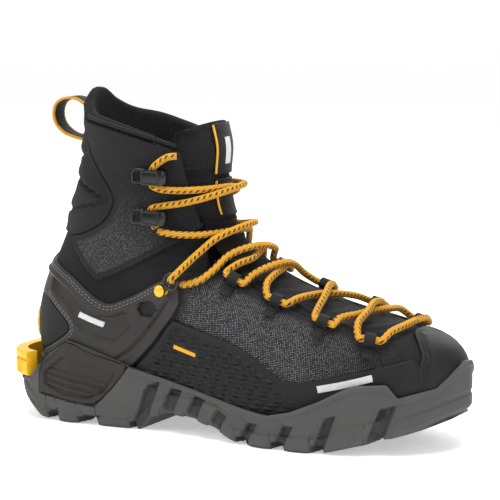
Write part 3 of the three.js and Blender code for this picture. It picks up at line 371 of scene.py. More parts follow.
def swept(name, line, aside, profile, finish, body, ends=(1.0, 1.0), rolling=False, **about):
    """A closed band or cord along a line: profile points are [aside, across] of the line."""
    line = np.asarray(line, float)
    heading = headings(line)
    aside = np.broadcast_to(np.asarray(aside, float), line.shape).copy()
    for i in range(len(line)):
        if i and rolling:
            aside[i] = aside[i - 1]
        aside[i] -= heading[i] * (aside[i] @ heading[i])
        aside[i] /= np.linalg.norm(aside[i])
    across = np.cross(heading, aside)
    profile = np.asarray(profile, float)
    if profile.ndim == 2:
        profile = np.broadcast_to(profile, (len(line), *profile.shape)).copy()
    for end, share in ((0, ends[0]), (-1, ends[1])):
        profile[end] *= share
    count = profile.shape[1]
    points = line[:, None] + aside[:, None] * profile[..., :1] + across[:, None] * profile[..., 1:]
    faces = grid_faces(len(line), count, True)
    run = running(line)
    middle = np.vstack([profile[len(line) // 2], profile[len(line) // 2][:1]])
    girth = running(middle)
    strand = []
    for i in range(len(line) - 1):
        for j in range(count):
            strand += [(run[i], girth[j], 0), (run[i], girth[j + 1], 0)]
            strand += [(run[i + 1], girth[j + 1], 0), (run[i + 1], girth[j], 0)]
    last = (len(line) - 1) * count
    faces += [tuple(range(count - 1, -1, -1)), tuple(last + k for k in range(count))]
    strand += [(0, 0, 0)] * count * 2
    return mesh_piece(name, points.reshape(-1, 3), faces, finish, body, corners=strand, **about)


def through(points, step):
    """An even line through chosen points (centripetal Catmull-Rom)."""
    points = np.asarray(points, float)
    points = np.vstack([2 * points[0] - points[1], points, 2 * points[-1] - points[-2]])
    fine = []
    for p0, p1, p2, p3 in zip(points, points[1:], points[2:], points[3:]):
        d0, d1, d2 = (max(np.linalg.norm(b - a) ** 0.5, 1e-4) for a, b in ((p0, p1), (p1, p2), (p2, p3)))
        m1 = (p1 - p0) / d0 - (p2 - p0) / (d0 + d1) + (p2 - p1) / d1
        m2 = (p2 - p1) / d1 - (p3 - p1) / (d1 + d2) + (p3 - p2) / d2
        m1, m2 = m1 * d1, m2 * d1
        for s in np.linspace(0, 1, 24, endpoint=False):
            fine.append(
                (2 * s**3 - 3 * s**2 + 1) * p1 + (s**3 - 2 * s**2 + s) * m1
                + (3 * s**2 - 2 * s**3) * p2 + (s**3 - s**2) * m2
            )
    fine = np.array([*fine, points[-2]])
    run = running(fine)
    at = np.linspace(0, run[-1], max(int(run[-1] / step), 2) + 1)
    return np.stack([np.interp(at, run, fine[:, k]) for k in range(3)], -1)


LACE, GAP = 4.5, 0.35
LACE_HOLE, LACE_SEAT, WEB, LOOP_RUN = 2.75, 2.75, 1.2, 4.0
HOOK_PLATE = 1.2
HOOK_SEAT = GAP + HOOK_PLATE + GAP + LACE / 2
RIVET, RING_LIFT, RING_ANGLE, RING_REACH = (0.508, 0.442), 3.6, 0.75, 10.5
RING_EYE, RING_BAR, RING_THICKNESS = 4.2, 2.0, 1.6
LOOPS = [
    [0.810, 0.245, 0.782, 0.258], [0.768, 0.315, 0.763, 0.345],
    [0.767, 0.418, 0.755, 0.447], [0.740, 0.500, 0.730, 0.525],
]
LACE_FOOT = [
    [0.998, 0.300, 2.2, 2.2], [0.92, 0.290, 2.4, 2.4], [0.86, 0.272, 2.8, 2.8],
    ["loop", 0, -1],
    [0.822, 0.312, 2.6, 2.4], [0.900, 0.352, 4.2, 1.2], [1.000, 0.377, 5.8, 0.6], [1.100, 0.369, 4.2, 1.2],
    [1.185, 0.345, 2.6, 2.4],
    ["loop", 1, 1],
    [1.190, 0.388, 2.4, 2.6], [1.100, 0.432, 1.2, 4.2], [1.000, 0.457, 0.6, 5.8], [0.900, 0.456, 1.2, 4.2],
    [0.825, 0.440, 2.4, 2.6],
    ["loop", 2, -1],
    [0.810, 0.494, 2.4, 2.6], [0.900, 0.530, 1.2, 4.2], [1.000, 0.545, 0.6, 5.8], [1.100, 0.545, 1.2, 4.2],
    [1.190, 0.527, 2.4, 2.6],
    ["loop", 3, 1],
    [1.205, 0.560, 3.2, 2.5], [1.100, 0.583, 5.4, 1.0], [1.000, 0.600, 6.0, 0.7], [0.900, 0.603, 5.4, 1.0],
    [0.800, 0.588, 3.0, 2.0], [0.710, 0.545, 2.2, 2.2], [0.640, 0.505, 1.4, 1.4], [0.600, 0.487, 0.75, 0.75],
    [0.572, 0.478, 0.75, 0.75],
]
LACE_ANKLE = [
    ["eye", 0, 0],
    [0.660, 0.566, 5.4, 5.4], [0.720, 0.602, 4.6, 3.6], [0.790, 0.632, 6.0, 1.8], [0.890, 0.652, 6.6, 1.0],
    [1.000, 0.660, 6.6, 0.9], [1.110, 0.658, 6.6, 1.0], [1.200, 0.652, 6.0, 2.0], [1.280, 0.648, 4.4, 3.0],
    [1.350, 0.650, 3.4, 3.4], [1.392, 0.656, HOOK_SEAT, HOOK_SEAT],
]
LACE_CUFF = [
    [0.604, 0.664, HOOK_SEAT, HOOK_SEAT], [0.598, 0.694, HOOK_SEAT, HOOK_SEAT],
    [0.604, 0.720, HOOK_SEAT, HOOK_SEAT], [0.650, 0.730, 3.6, 3.6], [0.720, 0.738, 3.2, 3.2],
    [0.800, 0.750, 5.0, 3.0], [0.900, 0.766, 7.4, 2.6], [1.000, 0.776, 7.8, 2.6], [1.100, 0.777, 7.4, 2.6],
    [1.200, 0.775, 5.0, 3.0], [1.300, 0.774, 3.2, 3.2], [1.370, 0.779, 3.8, 3.8],
    [1.394, 0.790, HOOK_SEAT, HOOK_SEAT], [1.396, 0.811, HOOK_SEAT, HOOK_SEAT],
    [1.390, 0.838, HOOK_SEAT, HOOK_SEAT], [1.360, 0.862, 3.4, 3.4], [1.330, 0.874, 3.0, 3.0],
    [1.300, 0.876, 2.9, 2.9],
]


def unit(v):
    return v / np.linalg.norm(v)


def fixture(side, t, v, lift):
    """A place on the upper, with its directions forwards, towards the inner side and up."""
    w = t if side < 0 else 2 - t
    out = skin_normal(np.array([w]), np.array([v]))[0]
    ahead = (bare_skin(w - side * STEP, v) - bare_skin(w + side * STEP, v))[0]
    forward = unit(ahead - out * (ahead @ out))
    up = unit(np.cross(forward, out))
    up = up if up[2] > 0 else -up
    return skin(w, v, lift)[0], forward, unit(np.cross(up, forward)), up


def loop_frame(i, side):
    front_t, front_v, back_t, back_v = LOOPS[i]
    (front_w, _), (back_w, _), (w, v) = on(side, [
        [front_t, front_v], [back_t, back_v], [(front_t + back_t) / 2, (front_v + back_v) / 2],
    ])
    front, back = skin(front_w, front_v, LACE_SEAT)[0], skin(back_w, back_v, LACE_SEAT)[0]
    forward = unit(front - back)
    out = skin_normal(np.array([w]), np.array([v]))[0]
    return (front + back) / 2, forward, unit(out - forward * (out @ forward))


def through_eye(side):
    place, forward, inner, up = fixture(side, *RIVET, 0)
    turn, top = LACE / 2 + GAP, RING_LIFT + RING_THICKNESS
    path = [(RING_EYE - turn, RING_LIFT - 0.1), (RING_EYE - turn, top - 0.4)]
    path += [(RING_EYE - turn * math.cos(a), top + turn * math.sin(a)) for a in (0.35, 0.8, 1.25)]
    path.append((RING_EYE + RING_BAR + 1, top + turn + 0.2))
    along = forward * math.cos(RING_ANGLE) + up * math.sin(RING_ANGLE)
    return [place + along * (RING_REACH + reach) + inner * side * height for reach, height in path]


def route(rows, mirrored):
    points = []
    for row in rows:
        if row[0] == "eye":
            points += through_eye(1 if mirrored else -1)
        elif row[0] == "loop":
            centre, forward, _ = loop_frame(row[1], -row[2] if mirrored else row[2])
            points += [centre + forward * r for r in (LOOP_RUN + 2.5, LOOP_RUN, -LOOP_RUN, -LOOP_RUN - 2.5)]
        else:
            t, v, lift, mirror_lift = row
            points.append(skin(2 - t if mirrored else t, v, mirror_lift if mirrored else lift)[0])
    return through(points, 1.2)


lace_finish = Finish("lace", Roughness=0.75)
along, round_it, _ = lace_finish.stored("strand")
strands = (along + round_it * 1.1).wave(2.36) * (along - round_it * 1.1).wave(2.36)
dash = (along + round_it * 0.8).wave(3.9).above(0.35, 0.25) * round_it.wave(4.71).above(0.25, 0.3)
yellow = lace_finish.blend(strands * 0.5 + 0.5, (0.50, 0.20, 0.010), (0.86, 0.46, 0.035))
lace_finish.colour(lace_finish.blend(dash, yellow, (0.05, 0.035, 0.02)))
lace_finish.relief(strands, 0.35)



def oval(aside, across):
    """The section of a cord or a rod, from its two half widths."""
    return [(aside * math.cos(a), across * math.sin(a)) for a in np.linspace(0, 2 * math.pi, 15)[:-1]]


for letter, mirrored in (("a", False), ("b", True)):
    for stretch, rows, body in (
        ("foot", LACE_FOOT, "foot"),
        ("ankle", LACE_ANKLE, ("foot", "cuff", [120, 0, 105], [120, 0, 126])),
        ("cuff", LACE_CUFF, "cuff"),
    ):
        line = route(rows, mirrored)
        swept(
            f"braid_{stretch}_{letter}", line, (0, 0, 1), oval(LACE / 2, LACE / 2), lace_finish, body,
            rolling=True, replaces=f"lace_{stretch}_{letter}", slot="lace_cord",
        )

# ---------------------------------------------------------------- pieces inside
# Cloth linings are glued inside the upper, over a heel counter and a toe puff. A fibre board, a
# composite shank, a foam midsole and a loose footbed lie in the sole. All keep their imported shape.
for slot_name, nodes, dark, light, rough in (
    ("lining_cloth", ("lining_lateral", "lining_medial"), (0.02, 0.02, 0.022), (0.05, 0.05, 0.052), 0.9),
    ("stiffener", ("heel_counter", "toe_puff", "lasting_board"), (0.10, 0.085, 0.06), (0.16, 0.14, 0.10), 0.8),
    ("shank_composite", ("shank_plate",), (0.006, 0.006, 0.006), (0.02, 0.02, 0.02), 0.35),
    ("midsole_core", ("midsole",), (0.06, 0.06, 0.062), (0.10, 0.10, 0.10), 0.7),
    ("footbed_foam", ("footbed",), (0.03, 0.03, 0.032), (0.07, 0.07, 0.072), 0.9),
):
    plain_finish = Finish(slot_name, Roughness=rough)
    grain = plain_finish.mottle(plain_finish.where(), 1.2, 4)
    plain_finish.colour(plain_finish.blend(grain, dark, light))
    plain_finish.relief(grain, 0.15)
    for node in nodes:
        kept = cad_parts[node]
        kept.data.materials.clear()
        kept.data.materials.append(plain_finish.material)

# ---------------------------------------------------------------- outsole
# A moulded rubber unit: deep bevelled lugs under a wall that wraps the foot and rises into a
# toe bumper. It is cemented to the midsole, and slanted recesses part the lugs on its wall.
SOLE_LATERAL = [
    [0, -3], [2, -14], [6, -24], [14, -32.5], [24, -38], [50, -42], [90, -41], [130, -42], [165, -48],
    [200, -55], [235, -54], [262, -47], [283, -36], [297, -22], [305, -9], [310, 6],
]
SOLE_MEDIAL = [
    [0, 3], [2, 14], [6, 24], [14, 32.5], [24, 38], [50, 42], [90, 40], [130, 41], [165, 47],
    [200, 54], [235, 55], [262, 53], [283, 46], [297, 36], [305, 25], [310, 11],
]
ROCKER = np.array([
    [0, 24], [6, 17], [14, 9], [26, 2], [36, 0], [102, 0], [110, 9], [124, 13], [145, 11], [160, 7],
    [176, 0], [234, 0], [250, 4], [270, 9], [290, 15], [310, 23],
], float)
SOLE_EDGE = np.array([
    [0, 27], [18, 27], [24, 33], [34, 45], [48, 54], [58, 52], [75, 47], [96, 40], [111, 37], [130, 33],
    [151, 29], [182, 23], [198, 21], [216, 25], [235, 33], [248, 40], [256, 43.5], [275, 44.5], [281, 36],
    [299, 41], [304, 47], [310, 55],
], float)
HEEL_INSERT = np.array([[27, 17], [45, 15], [70, 12], [84, 26], [96, 41], [96, 60], [40, 60], [27, 37]], float)
# Recesses between the lugs: [x at the ground, width, height, slant towards the toe]
RECESSES = [
    [37, 9, 8, 2], [64, 15, 7, 4], [102, 15, 22, 10], [122, 11, 17, 8], [140, 10.5, 16, 8], [158, 9.5, 14, 7],
    [179, 9, 15, 9], [206, 9, 16, 8], [233, 9, 22, 9], [268, 12, 20, 8],
]
LUG_HEIGHT = 6.0


def inside(points, line):
    x, y = points[:, :1], points[:, 1:]
    x0, y0 = line.T
    x1, y1 = np.roll(line, -1, 0).T
    crosses = (y0 > y) != (y1 > y)
    reach = (x1 - x0) * (y - y0) / np.where(y1 == y0, 1e-12, y1 - y0) + x0
    return (crosses & (x < reach)).sum(1) % 2 == 1


def from_line(points, line):
    """Distance of [n, 2] points from an open line."""
    start, step = line[:-1], np.diff(line, axis=0)
    gap = points[:, None] - start[None]
    t = np.clip((gap * step).sum(2) / np.maximum((step**2).sum(1), 1e-9), 0, 1)
    return np.linalg.norm(gap - t[..., None] * step, axis=2).min(1)


def rounded_step(d, over):
    d = np.clip(np.asarray(d, float) / over, 0, 1)
    return d * d * (3 - 2 * d)


def polygon_depth(x, z, outline):
    """Distance inside a closed outline, 0 outside it."""
    places = np.stack([np.ravel(x), np.ravel(z)], -1)
    line = np.vstack([outline, outline[:1]])
    d = np.where(inside(places, outline), from_line(places, line), 0)
    return d.reshape(np.shape(x))


def even_plan(rows, step):
    return through([[x, y, 0] for x, y in rows], step)[:, :2]


def eased(values, rounds):
    """Values round a closed line, each averaged with its neighbours."""
    for _ in range(rounds):
        values = (np.roll(values, 1, 0) + values * 2 + np.roll(values, -1, 0)) / 4
    return values


plan_line = np.vstack([even_plan(SOLE_LATERAL, 0.9), even_plan(SOLE_MEDIAL[::-1], 0.9)])
plan_line[:, 1] *= WIDTH_SCALE
ahead = np.roll(plan_line, -2, 0) - np.roll(plan_line, 2, 0)
ahead /= np.linalg.norm(ahead, axis=1, keepdims=True)
plan_out = eased(np.stack([ahead[:, 1], -ahead[:, 0]], -1), 6)
plan_out /= np.linalg.norm(plan_out, axis=1, keepdims=True)
plan_x = np.clip(plan_line[:, 0], 0, 310)
low_z, high_z = (eased(np.interp(plan_x, *rows.T), 2) for rows in (ROCKER, SOLE_EDGE))


def recess_depth(x, height):
    """How far a place is inside the nearest recess, in millimetres."""
    best = np.full(np.shape(x), -50.0)
    for foot, width, tall, slant in RECESSES:
        rise = np.clip(height / tall, 0, 1)
        middle = foot + slant * rise
        half = width / 2 * (1 - 0.22 * rise)
        best = np.maximum(best, np.minimum(half - np.abs(x - middle), (tall - height) * 0.9))
    return best


levels = np.r_[0, 0.012, 0.03, np.linspace(0.06, 0.94, 46), 0.965, 0.985, 1.0]
wall_x = np.broadcast_to(plan_x, (len(levels), len(plan_x)))
foot_z = low_z + (LUG_HEIGHT - 0.8) * rounded_step(recess_depth(plan_x, 0 * plan_x), 1.3)
wall_z = foot_z + (high_z - foot_z) * levels[:, None]
height = wall_z - low_z
left = high_z - wall_z
recess = recess_depth(wall_x, height)
fore = smooth(150, 185, wall_x)
heel = 1 - smooth(90, 104, wall_x)
arch = (1 - fore) * (1 - heel)
bulge = np.zeros_like(wall_z)
# The foot of each lug is chamfered, and its upper half steps in once under the lip.
bulge -= 3.0 * (1 - rounded_step(height, 4.0)) * (0.4 + 0.6 * np.maximum(fore, heel))
bulge -= 1.5 * rounded_step(recess + 5.0, 5.0) * (0.3 + 0.7 * np.maximum(fore, heel))
step_at = 8.5 + 4.5 * smooth(225, 285, wall_x)
bulge -= 1.3 * fore * (1 - smooth(268, 280, wall_x)) * rounded_step(height - step_at, 1.2)
bulge -= 0.9 * arch * rounded_step(height - 9 - 0.1 * (wall_x - 104), 1.0)
bulge -= 0.8 * heel * rounded_step(height - 11, 1.0) * rounded_step(30 - wall_x, 6)
bulge += 0.9 * rounded_step(3.6 - left, 0.9)
bulge -= 2.8 * rounded_step(recess, 1.1)
# A shallow panel line on the flank of each fore lug, and the toe bumper's two facets.
bulge -= 0.55 * (heel + 0.6 * fore) * np.exp(-(((height - 3.4) / 0.55) ** 2))
bulge -= 0.45 * heel * np.exp(-(((height - 6.6) / 0.5) ** 2))
facet = np.abs(((wall_x + 0.45 * height) % 27.5) - 13.7)
flank = rounded_step(step_at - height, 1.2) * rounded_step(height - 3.5, 1.2)
bulge -= 0.5 * fore * (1 - smooth(276, 284, wall_x)) * rounded_step(2.2 - facet, 1.6) * flank
toe_band = smooth(278, 286, wall_x)
bulge -= 0.6 * toe_band * rounded_step(2.0 - np.abs(height - 12), 1.0)
bed = polygon_depth(wall_x, wall_z, HEEL_INSERT) * (np.abs(plan_line[:, 1]) > 10)
bulge -= 3.4 * rounded_step(bed, 0.7)
bulge -= 0.8 * rounded_step(1.3 - left, 1.3)
bulge = np.minimum(bulge, 0.9)


def beside_plan(outwards, z):
    """Rows of points moved out from the plan of the sole, at heights z."""
    outwards, z = np.atleast_2d(outwards), np.atleast_2d(z)
    return np.dstack([plan_line[:, 0] + plan_out[:, 0] * outwards, plan_line[:, 1] + plan_out[:, 1] * outwards, z])


wall = beside_plan(bulge - 0.9, wall_z)
for inwards, drop in ((2.2, 0.1), (4.2, 0.3), (7.0, 0.7), (10.0, 1.4), (12.0, 7.0)):
    wall = np.concatenate([wall, beside_plan(-inwards, high_z - drop)])

# The tread: columns run from one foot of the wall to the other.
tread_x = np.arange(6.0, 303.0, 1.15)
tread_s = np.r_[0, 0.012, 0.03, np.linspace(0.06, 0.94, 74), 0.97, 0.988, 1.0]
lateral_y = np.interp(tread_x, *np.array(SOLE_LATERAL).T) * WIDTH_SCALE + 5.0
medial_y = np.interp(tread_x, *np.array(SOLE_MEDIAL).T) * WIDTH_SCALE - 5.0
under_x = np.broadcast_to(tread_x[:, None], (len(tread_x), len(tread_s)))
under_y = lateral_y[:, None] + (medial_y - lateral_y)[:, None] * tread_s
under_low = np.interp(under_x, *ROCKER.T)
from_edge = np.minimum(under_y - lateral_y[:, None], medial_y[:, None] - under_y)
centre_y = np.interp(under_x, [0, 150, 210, 265, 310], [0, 0, 3, 7, 9])
groove = np.zeros_like(under_x)
NOTCH_REACH = 17.0
for foot, width, *_ in RECESSES:
    middle = foot + 0.22 * from_edge
    groove = np.maximum(groove, np.minimum(width / 2 - np.abs(under_x - middle), NOTCH_REACH - from_edge))
block = under_x + 1.1 * np.abs(under_y - centre_y)
fore_u, heel_u = smooth(172, 178, under_x), 1 - smooth(97, 103, under_x)
row = np.abs(((block - 172) % 24.0) - 12.0)
groove = np.maximum(groove, np.minimum(row - 8.6, from_edge - 14.0))
ring_line = 1.9 - np.abs(from_edge - 16.5)
groove = np.maximum(groove, ring_line)
arch_u = (1 - fore_u) * (1 - heel_u)
groove = np.where(arch_u > 0.5, np.minimum(2.0 - np.abs(((under_x - 104) % 12.0) - 6.0), from_edge - 6), groove)
deep = (LUG_HEIGHT - 0.4) * rounded_step(groove, 1.4) * np.where(arch_u > 0.5, 0.3, 1.0)
siping = 0.5 * rounded_step(0.7 - np.abs(((under_y - centre_y + 60) % 8) - 4), 0.5) * rounded_step(-groove, 2)
under_z = under_low + deep + siping + 0.4 * (1 - rounded_step(from_edge, 1.2))
tread = np.dstack([under_x, under_y, under_z])

rows, columns = wall.shape[:2]
outer_points = wall.reshape(-1, 3)
wall_faces = [(a, b, c, d) for d, c, b, a in grid_faces(rows, columns, True)]
edge_depth = np.concatenate([np.maximum(recess, 0), np.zeros((rows - len(levels), columns))]).reshape(-1)
tread_faces = grid_faces(*tread.shape[:2], False, len(outer_points))
foot_ring = wall[0]
inner_ring = [len(outer_points) + i * len(tread_s) for i in range(len(tread_x))]
inner_ring += [len(outer_points) + i * len(tread_s) + len(tread_s) - 1 for i in range(len(tread_x) - 1, -1, -1)]
inner_place = np.vstack([tread[:, 0], tread[::-1, -1]])
near = [int(np.argmin(((inner_place[:, :2] - p[:2]) ** 2).sum(1))) for p in foot_ring]
bridge = []
for k in range(columns):
    nxt = (k + 1) % columns
    a, b = near[k], near[nxt]
    bridge.append((k, nxt, inner_ring[b]))
    if a != b:
        span = range(a, b) if b > a and b - a < 60 else [a]
        for m in span:
            bridge.append((k, inner_ring[m + 1] if m + 1 <= b else inner_ring[b], inner_ring[m]))
all_points = np.vstack([outer_points, tread.reshape(-1, 3)])
# Depth into the wall's recesses and the tread's grooves, kept on the mesh to paint shade in them; the second number
# is the height.
worn = np.zeros((len(all_points), 3))
worn[: len(edge_depth), 0] = edge_depth
worn[len(outer_points):, 0] = np.clip(deep.reshape(-1), 0, 6)
worn[:, 1] = all_points[:, 2]

rubber = Finish("sole_rubber", Roughness=0.72)
place = rubber.where()
shade_depth, _, _ = rubber.stored("worn")
tone = rubber.mottle(place, 14, 4) * 0.6 + rubber.mottle(place, 1.3) * 0.4
grey = rubber.blend(tone, (0.046, 0.046, 0.0455), (0.078, 0.078, 0.0765))
# The recesses and grooves are painted near black by their depth: painted shade in the hollows of the sole.
rubber.colour(rubber.blend(shade_depth.above(0.9, 1.2) * 0.72, grey, (0.020, 0.020, 0.020)))
rubber.rough(tone * 0.25 + 0.55)
rubber.relief(rubber.mottle(place, 0.5) * 0.6 + rubber.mottle(place, 2.5) * 0.4, 0.12)
mesh_piece(
    "tread_unit", all_points, [*wall_faces, *tread_faces, *bridge], rubber, "foot",
    replaces="outsole", slot="sole_rubber", sharp=28, worn=worn,
)

# ---------------------------------------------------------------- heel inserts
# A firm taupe plate is set into a pocket on each side of the heel of the sole. A raised border
# frames a sunk panel with low ribs along its lower half.
def round_corners(line, rounds=2, closed=True):
    """Cuts the corners of a line; a point given twice stays sharp."""
    line = np.array(line, float)
    for _ in range(rounds):
        ahead = np.roll(line, -1, 0)
        cut = np.stack([0.75 * line + 0.25 * ahead, 0.25 * line + 0.75 * ahead], 1).reshape(-1, line.shape[1])
        line = cut if closed else np.vstack([line[:1], cut[1:-3], line[-1:]])
    return line


RIB_PANEL = np.array([
    [31.5, 32.5], [47, 43.5], [66, 40.5], [86, 35.5], [78, 22.5], [65, 16.5], [45, 18], [31.5, 23.5],
])


def moulded(name, rough, dark, light, coarse, fine, share, least, grain, depth):
    """A moulded plastic or film: two sizes of mottling over a fine grain."""
    made = Finish(name, Roughness=rough)
    place = made.where()
    tone = made.mottle(place, coarse, 3) * share + made.mottle(place, fine) * (1 - share)
    made.colour(made.blend(tone, dark, light))
    made.rough(tone * 0.2 + least)
    return made.relief(made.mottle(place, grain), depth)


insert_finish = moulded(
    "midsole_foam", 0.6, (0.017, 0.0135, 0.012), (0.031, 0.0255, 0.023), 9, 1.0, 0.6, 0.5, 0.6, 0.1,
)
INSERT_FACE = round_corners([
    [27.6, 18], [27.6, 18], [45, 15.7], [69.5, 12.6], [83.4, 26], [95, 40.2], [89, 41.8], [64, 47.2],
    [52, 52.6], [47, 51.6], [38, 42], [27.6, 34.5],
], 2)
for name, side in SIDES.items():
    edge_rows = np.array(SOLE_LATERAL if side < 0 else SOLE_MEDIAL)
    rim = np.vstack([INSERT_FACE, INSERT_FACE[:1]])
    outline = through([[x, z, 0] for x, z in rim], 0.7)[:-1, :2]
    grid = np.stack(np.meshgrid(np.arange(26, 97, 0.75), np.arange(11, 55, 0.75), indexing="ij"), -1).reshape(-1, 2)
    grid = grid[polygon_depth(*grid.T, INSERT_FACE) > 0.5]
    found = delaunay_2d_cdt(np.vstack([outline, grid]).tolist(), [], [list(range(len(outline)))], 1, 1e-4)
    flat = np.array([list(p) for p in found[0]])
    faces = np.array([f for f in found[2] if len(f) == 3])
    level = flat[:, 1] + 0.16 * (flat[:, 0] - 55)
    ribs = 0.5 + 0.5 * np.cos((level - 17) * 2 * math.pi / 4.6)
    d = polygon_depth(flat[:, 0], flat[:, 1], outline)
    panel_d = polygon_depth(flat[:, 0], flat[:, 1], RIB_PANEL)
    face = rounded_step(d, 1.1) - 1.7 * rounded_step(panel_d, 1.0)
    face += 1.2 * rounded_step(ribs - 0.32, 0.5) * rounded_step(panel_d - 1.0, 1.2) * (1 - smooth(31, 35, level))
    y = np.interp(flat[:, 0], *edge_rows.T) * WIDTH_SCALE - side * 0.9
    front = np.stack([flat[:, 0], y + side * (face - 0.75), flat[:, 1]], -1)
    behind = np.stack([flat[:, 0], y - side * 4.2, flat[:, 1]], -1)
    count = len(flat)
    order = slice(None) if side < 0 else slice(None, None, -1)
    ring = list(range(len(outline)))
    walls = [(a, a + count, b + count, b)[order] for a, b in zip(ring, ring[1:] + ring[:1])]
    mesh_piece(
        f"heel_plate_{name}", np.vstack([front, behind]),
        [*[tuple(f)[order] for f in faces], *[tuple(f + count)[::-1][order] for f in faces], *walls],
        insert_finish, "foot", replaces=f"heel_insert_{name}", slot="midsole_foam", sharp=40,
    )

# ---------------------------------------------------------------- heel welt
# A hard yellow block behind the heel holds an automatic crampon's clip in the ledge on top.
# It is moulded with facets and cemented between the sole and the upper.
welt_finish = Finish("yellow_plastic", Roughness=0.4)
place = welt_finish.where()
tone = welt_finish.mottle(place, 10, 3)
welt_finish.colour(welt_finish.blend(tone, (0.70, 0.36, 0.008), (0.86, 0.50, 0.012)))
welt_finish.rough(tone * 0.25 + 0.3)
welt_finish.relief(welt_finish.mottle(place, 0.7), 0.06)
half_plan = [[17.5, -36.5], [9, -32], [2, -25], [-2.5, -16], [-4, -8]]
WELT_PLAN = half_plan + [[x, -y] for x, y in half_plan[::-1]]
plan = np.array(through([[x, y, 0] for x, y in WELT_PLAN], 1.2))[:, :2]
plan[:, 1] *= WIDTH_SCALE
heading = headings(plan)
outward = np.stack([-heading[:, 1], heading[:, 0]], -1)
bottom, top = 27.35, 43.35
bands = [
    (-8, bottom), (-1.4, bottom), (-0.3, bottom + 1.0), (0, bottom + 2.6), (0, bottom + 8.8), (-0.4, bottom + 9.5),
    (-1.7, bottom + 10.1), (-1.7, bottom + 10.9), (-0.4, bottom + 11.5), (0, bottom + 12.2), (0, top - 1.0),
    (-0.9, top), (-8, top),
]
notch = rounded_step(2.4 - np.abs(((plan[:, 1] + 120) % 16) - 8), 1.2)
rings = []
for inset, z in bands:
    cut = inset - 1.5 * notch * (bottom + 2 < z < bottom + 9.2)
    rings.append(np.column_stack([plan + outward * cut[:, None], np.full(len(plan), z)]))
welt = np.concatenate(rings)
across = len(plan)
faces = [(a, b, c, d) for d, c, b, a in grid_faces(len(bands), across)]
last_band = (len(bands) - 1) * across
faces += [(j, j + 1, last_band + j + 1, last_band + j) for j in range(across - 1)]
starts = [k * across for k in range(len(bands))]
faces += [tuple(starts), tuple(k + across - 1 for k in reversed(starts))]
mesh_piece("crampon_block", welt, faces, welt_finish, "foot", replaces="heel_welt", slot="yellow_plastic", sharp=30)

# ---------------------------------------------------------------- vamp
# A charcoal weave with pale flecks covers the foot from the heel frame to the toe, one panel
# each side, lasted under the board. Its edge carries the lace loops at the throat.
def seen_from_side(outline):
    """Ring station t and height v of side-view points [x, z]."""
    x, z = np.array(outline, float).T
    low, high = np.zeros(len(x)), np.full(len(x), 1.1)
    for _ in range(36):
        v = (low + high) / 2
        back_x, back_z, front_x, front_z = curve(PROFILE, v).T
        s = np.clip((x - back_x) / (front_x - back_x), 0, 1)
        height = back_z + (front_z - back_z) * s - ARCH_DROP * np.sin(np.pi * s) * np.clip(1 - v, 0, 1) ** 2
        low, high = np.where(height < z, v, low), np.where(height < z, high, v)
    return np.stack([np.arccos(1 - 2 * s) / np.pi, v], -1)


def spaced(line, step, closed=True):
    """The same line in even steps, measured on the surface."""
    if closed:
        line = np.vstack([line, line[:1]])
    fine = np.linspace(0, len(line) - 1, 12 * len(line))
    line = np.stack([np.interp(fine, np.arange(len(line)), line[:, k]) for k in range(2)], -1)
    run = running(bare_skin(*line.T))
    count = max(int(run[-1] / step), 3)
    at = np.linspace(0, run[-1], count + 1)[:-1] if closed else np.linspace(0, run[-1], count + 1)
    return np.stack([np.interp(at, run, line[:, k]) for k in range(2)], -1)


def moved_in(line, by, closed=True):
    """A line moved sideways on the surface, to its left, in millimetres."""
    if closed:
        ahead, behind = np.roll(line, -1, 0), np.roll(line, 1, 0)
    else:
        ahead, behind = np.vstack([line[1:], line[-1:]]), np.vstack([line[:1], line[:-1]])
    tangent = bare_skin(*ahead.T) - bare_skin(*behind.T)
    tangent /= np.maximum(np.linalg.norm(tangent, axis=1, keepdims=True), 1e-9)
    inward = np.cross(skin_normal(*line.T), tangent)
    w, v = line.T
    low = np.maximum(v - STEP, 0)
    per_w = (bare_skin(w + STEP, v) - bare_skin(w - STEP, v)) / (2 * STEP)
    per_v = (bare_skin(w, low + 2 * STEP) - bare_skin(w, low)) / (2 * STEP)
    a, b, c = (per_w**2).sum(1), (per_w * per_v).sum(1), (per_v**2).sum(1)
    p, q = (per_w * inward).sum(1) * by, (per_v * inward).sum(1) * by
    det = np.maximum(a * c - b * b, 1e-6)
    return line + np.stack([(c * p - b * q) / det, (a * q - b * p) / det], -1)


# Distances run along the rings and up them, so that a weave keeps its size on the surface.
GRID_W, GRID_V = np.linspace(0, 2, 161), np.linspace(0, 1.1, 67)
grid = bare_skin(*[a.ravel() for a in np.meshgrid(GRID_W, GRID_V, indexing="ij")]).reshape(161, 67, 3)
RUN = np.concatenate([np.zeros((1, 67)), np.cumsum(np.linalg.norm(np.diff(grid, axis=0), axis=2), 0)])
RUN = RUN - RUN[40]
RISE = np.concatenate([np.zeros((161, 1)), np.cumsum(np.linalg.norm(np.diff(grid, axis=1), axis=2), 1)], 1)


def measured(table, w, v):
    i = np.clip(np.mod(w, 2) / 2 * 160, 0, 159.999)
    j = np.clip(v / 1.1 * 66, 0, 65.999)
    a, b = i.astype(int), j.astype(int)
    f, g = i - a, j - b
    low = table[a, b] * (1 - f) + table[a + 1, b] * f
    high = table[a, b + 1] * (1 - f) + table[a + 1, b + 1] * f
    return low * (1 - g) + high * g


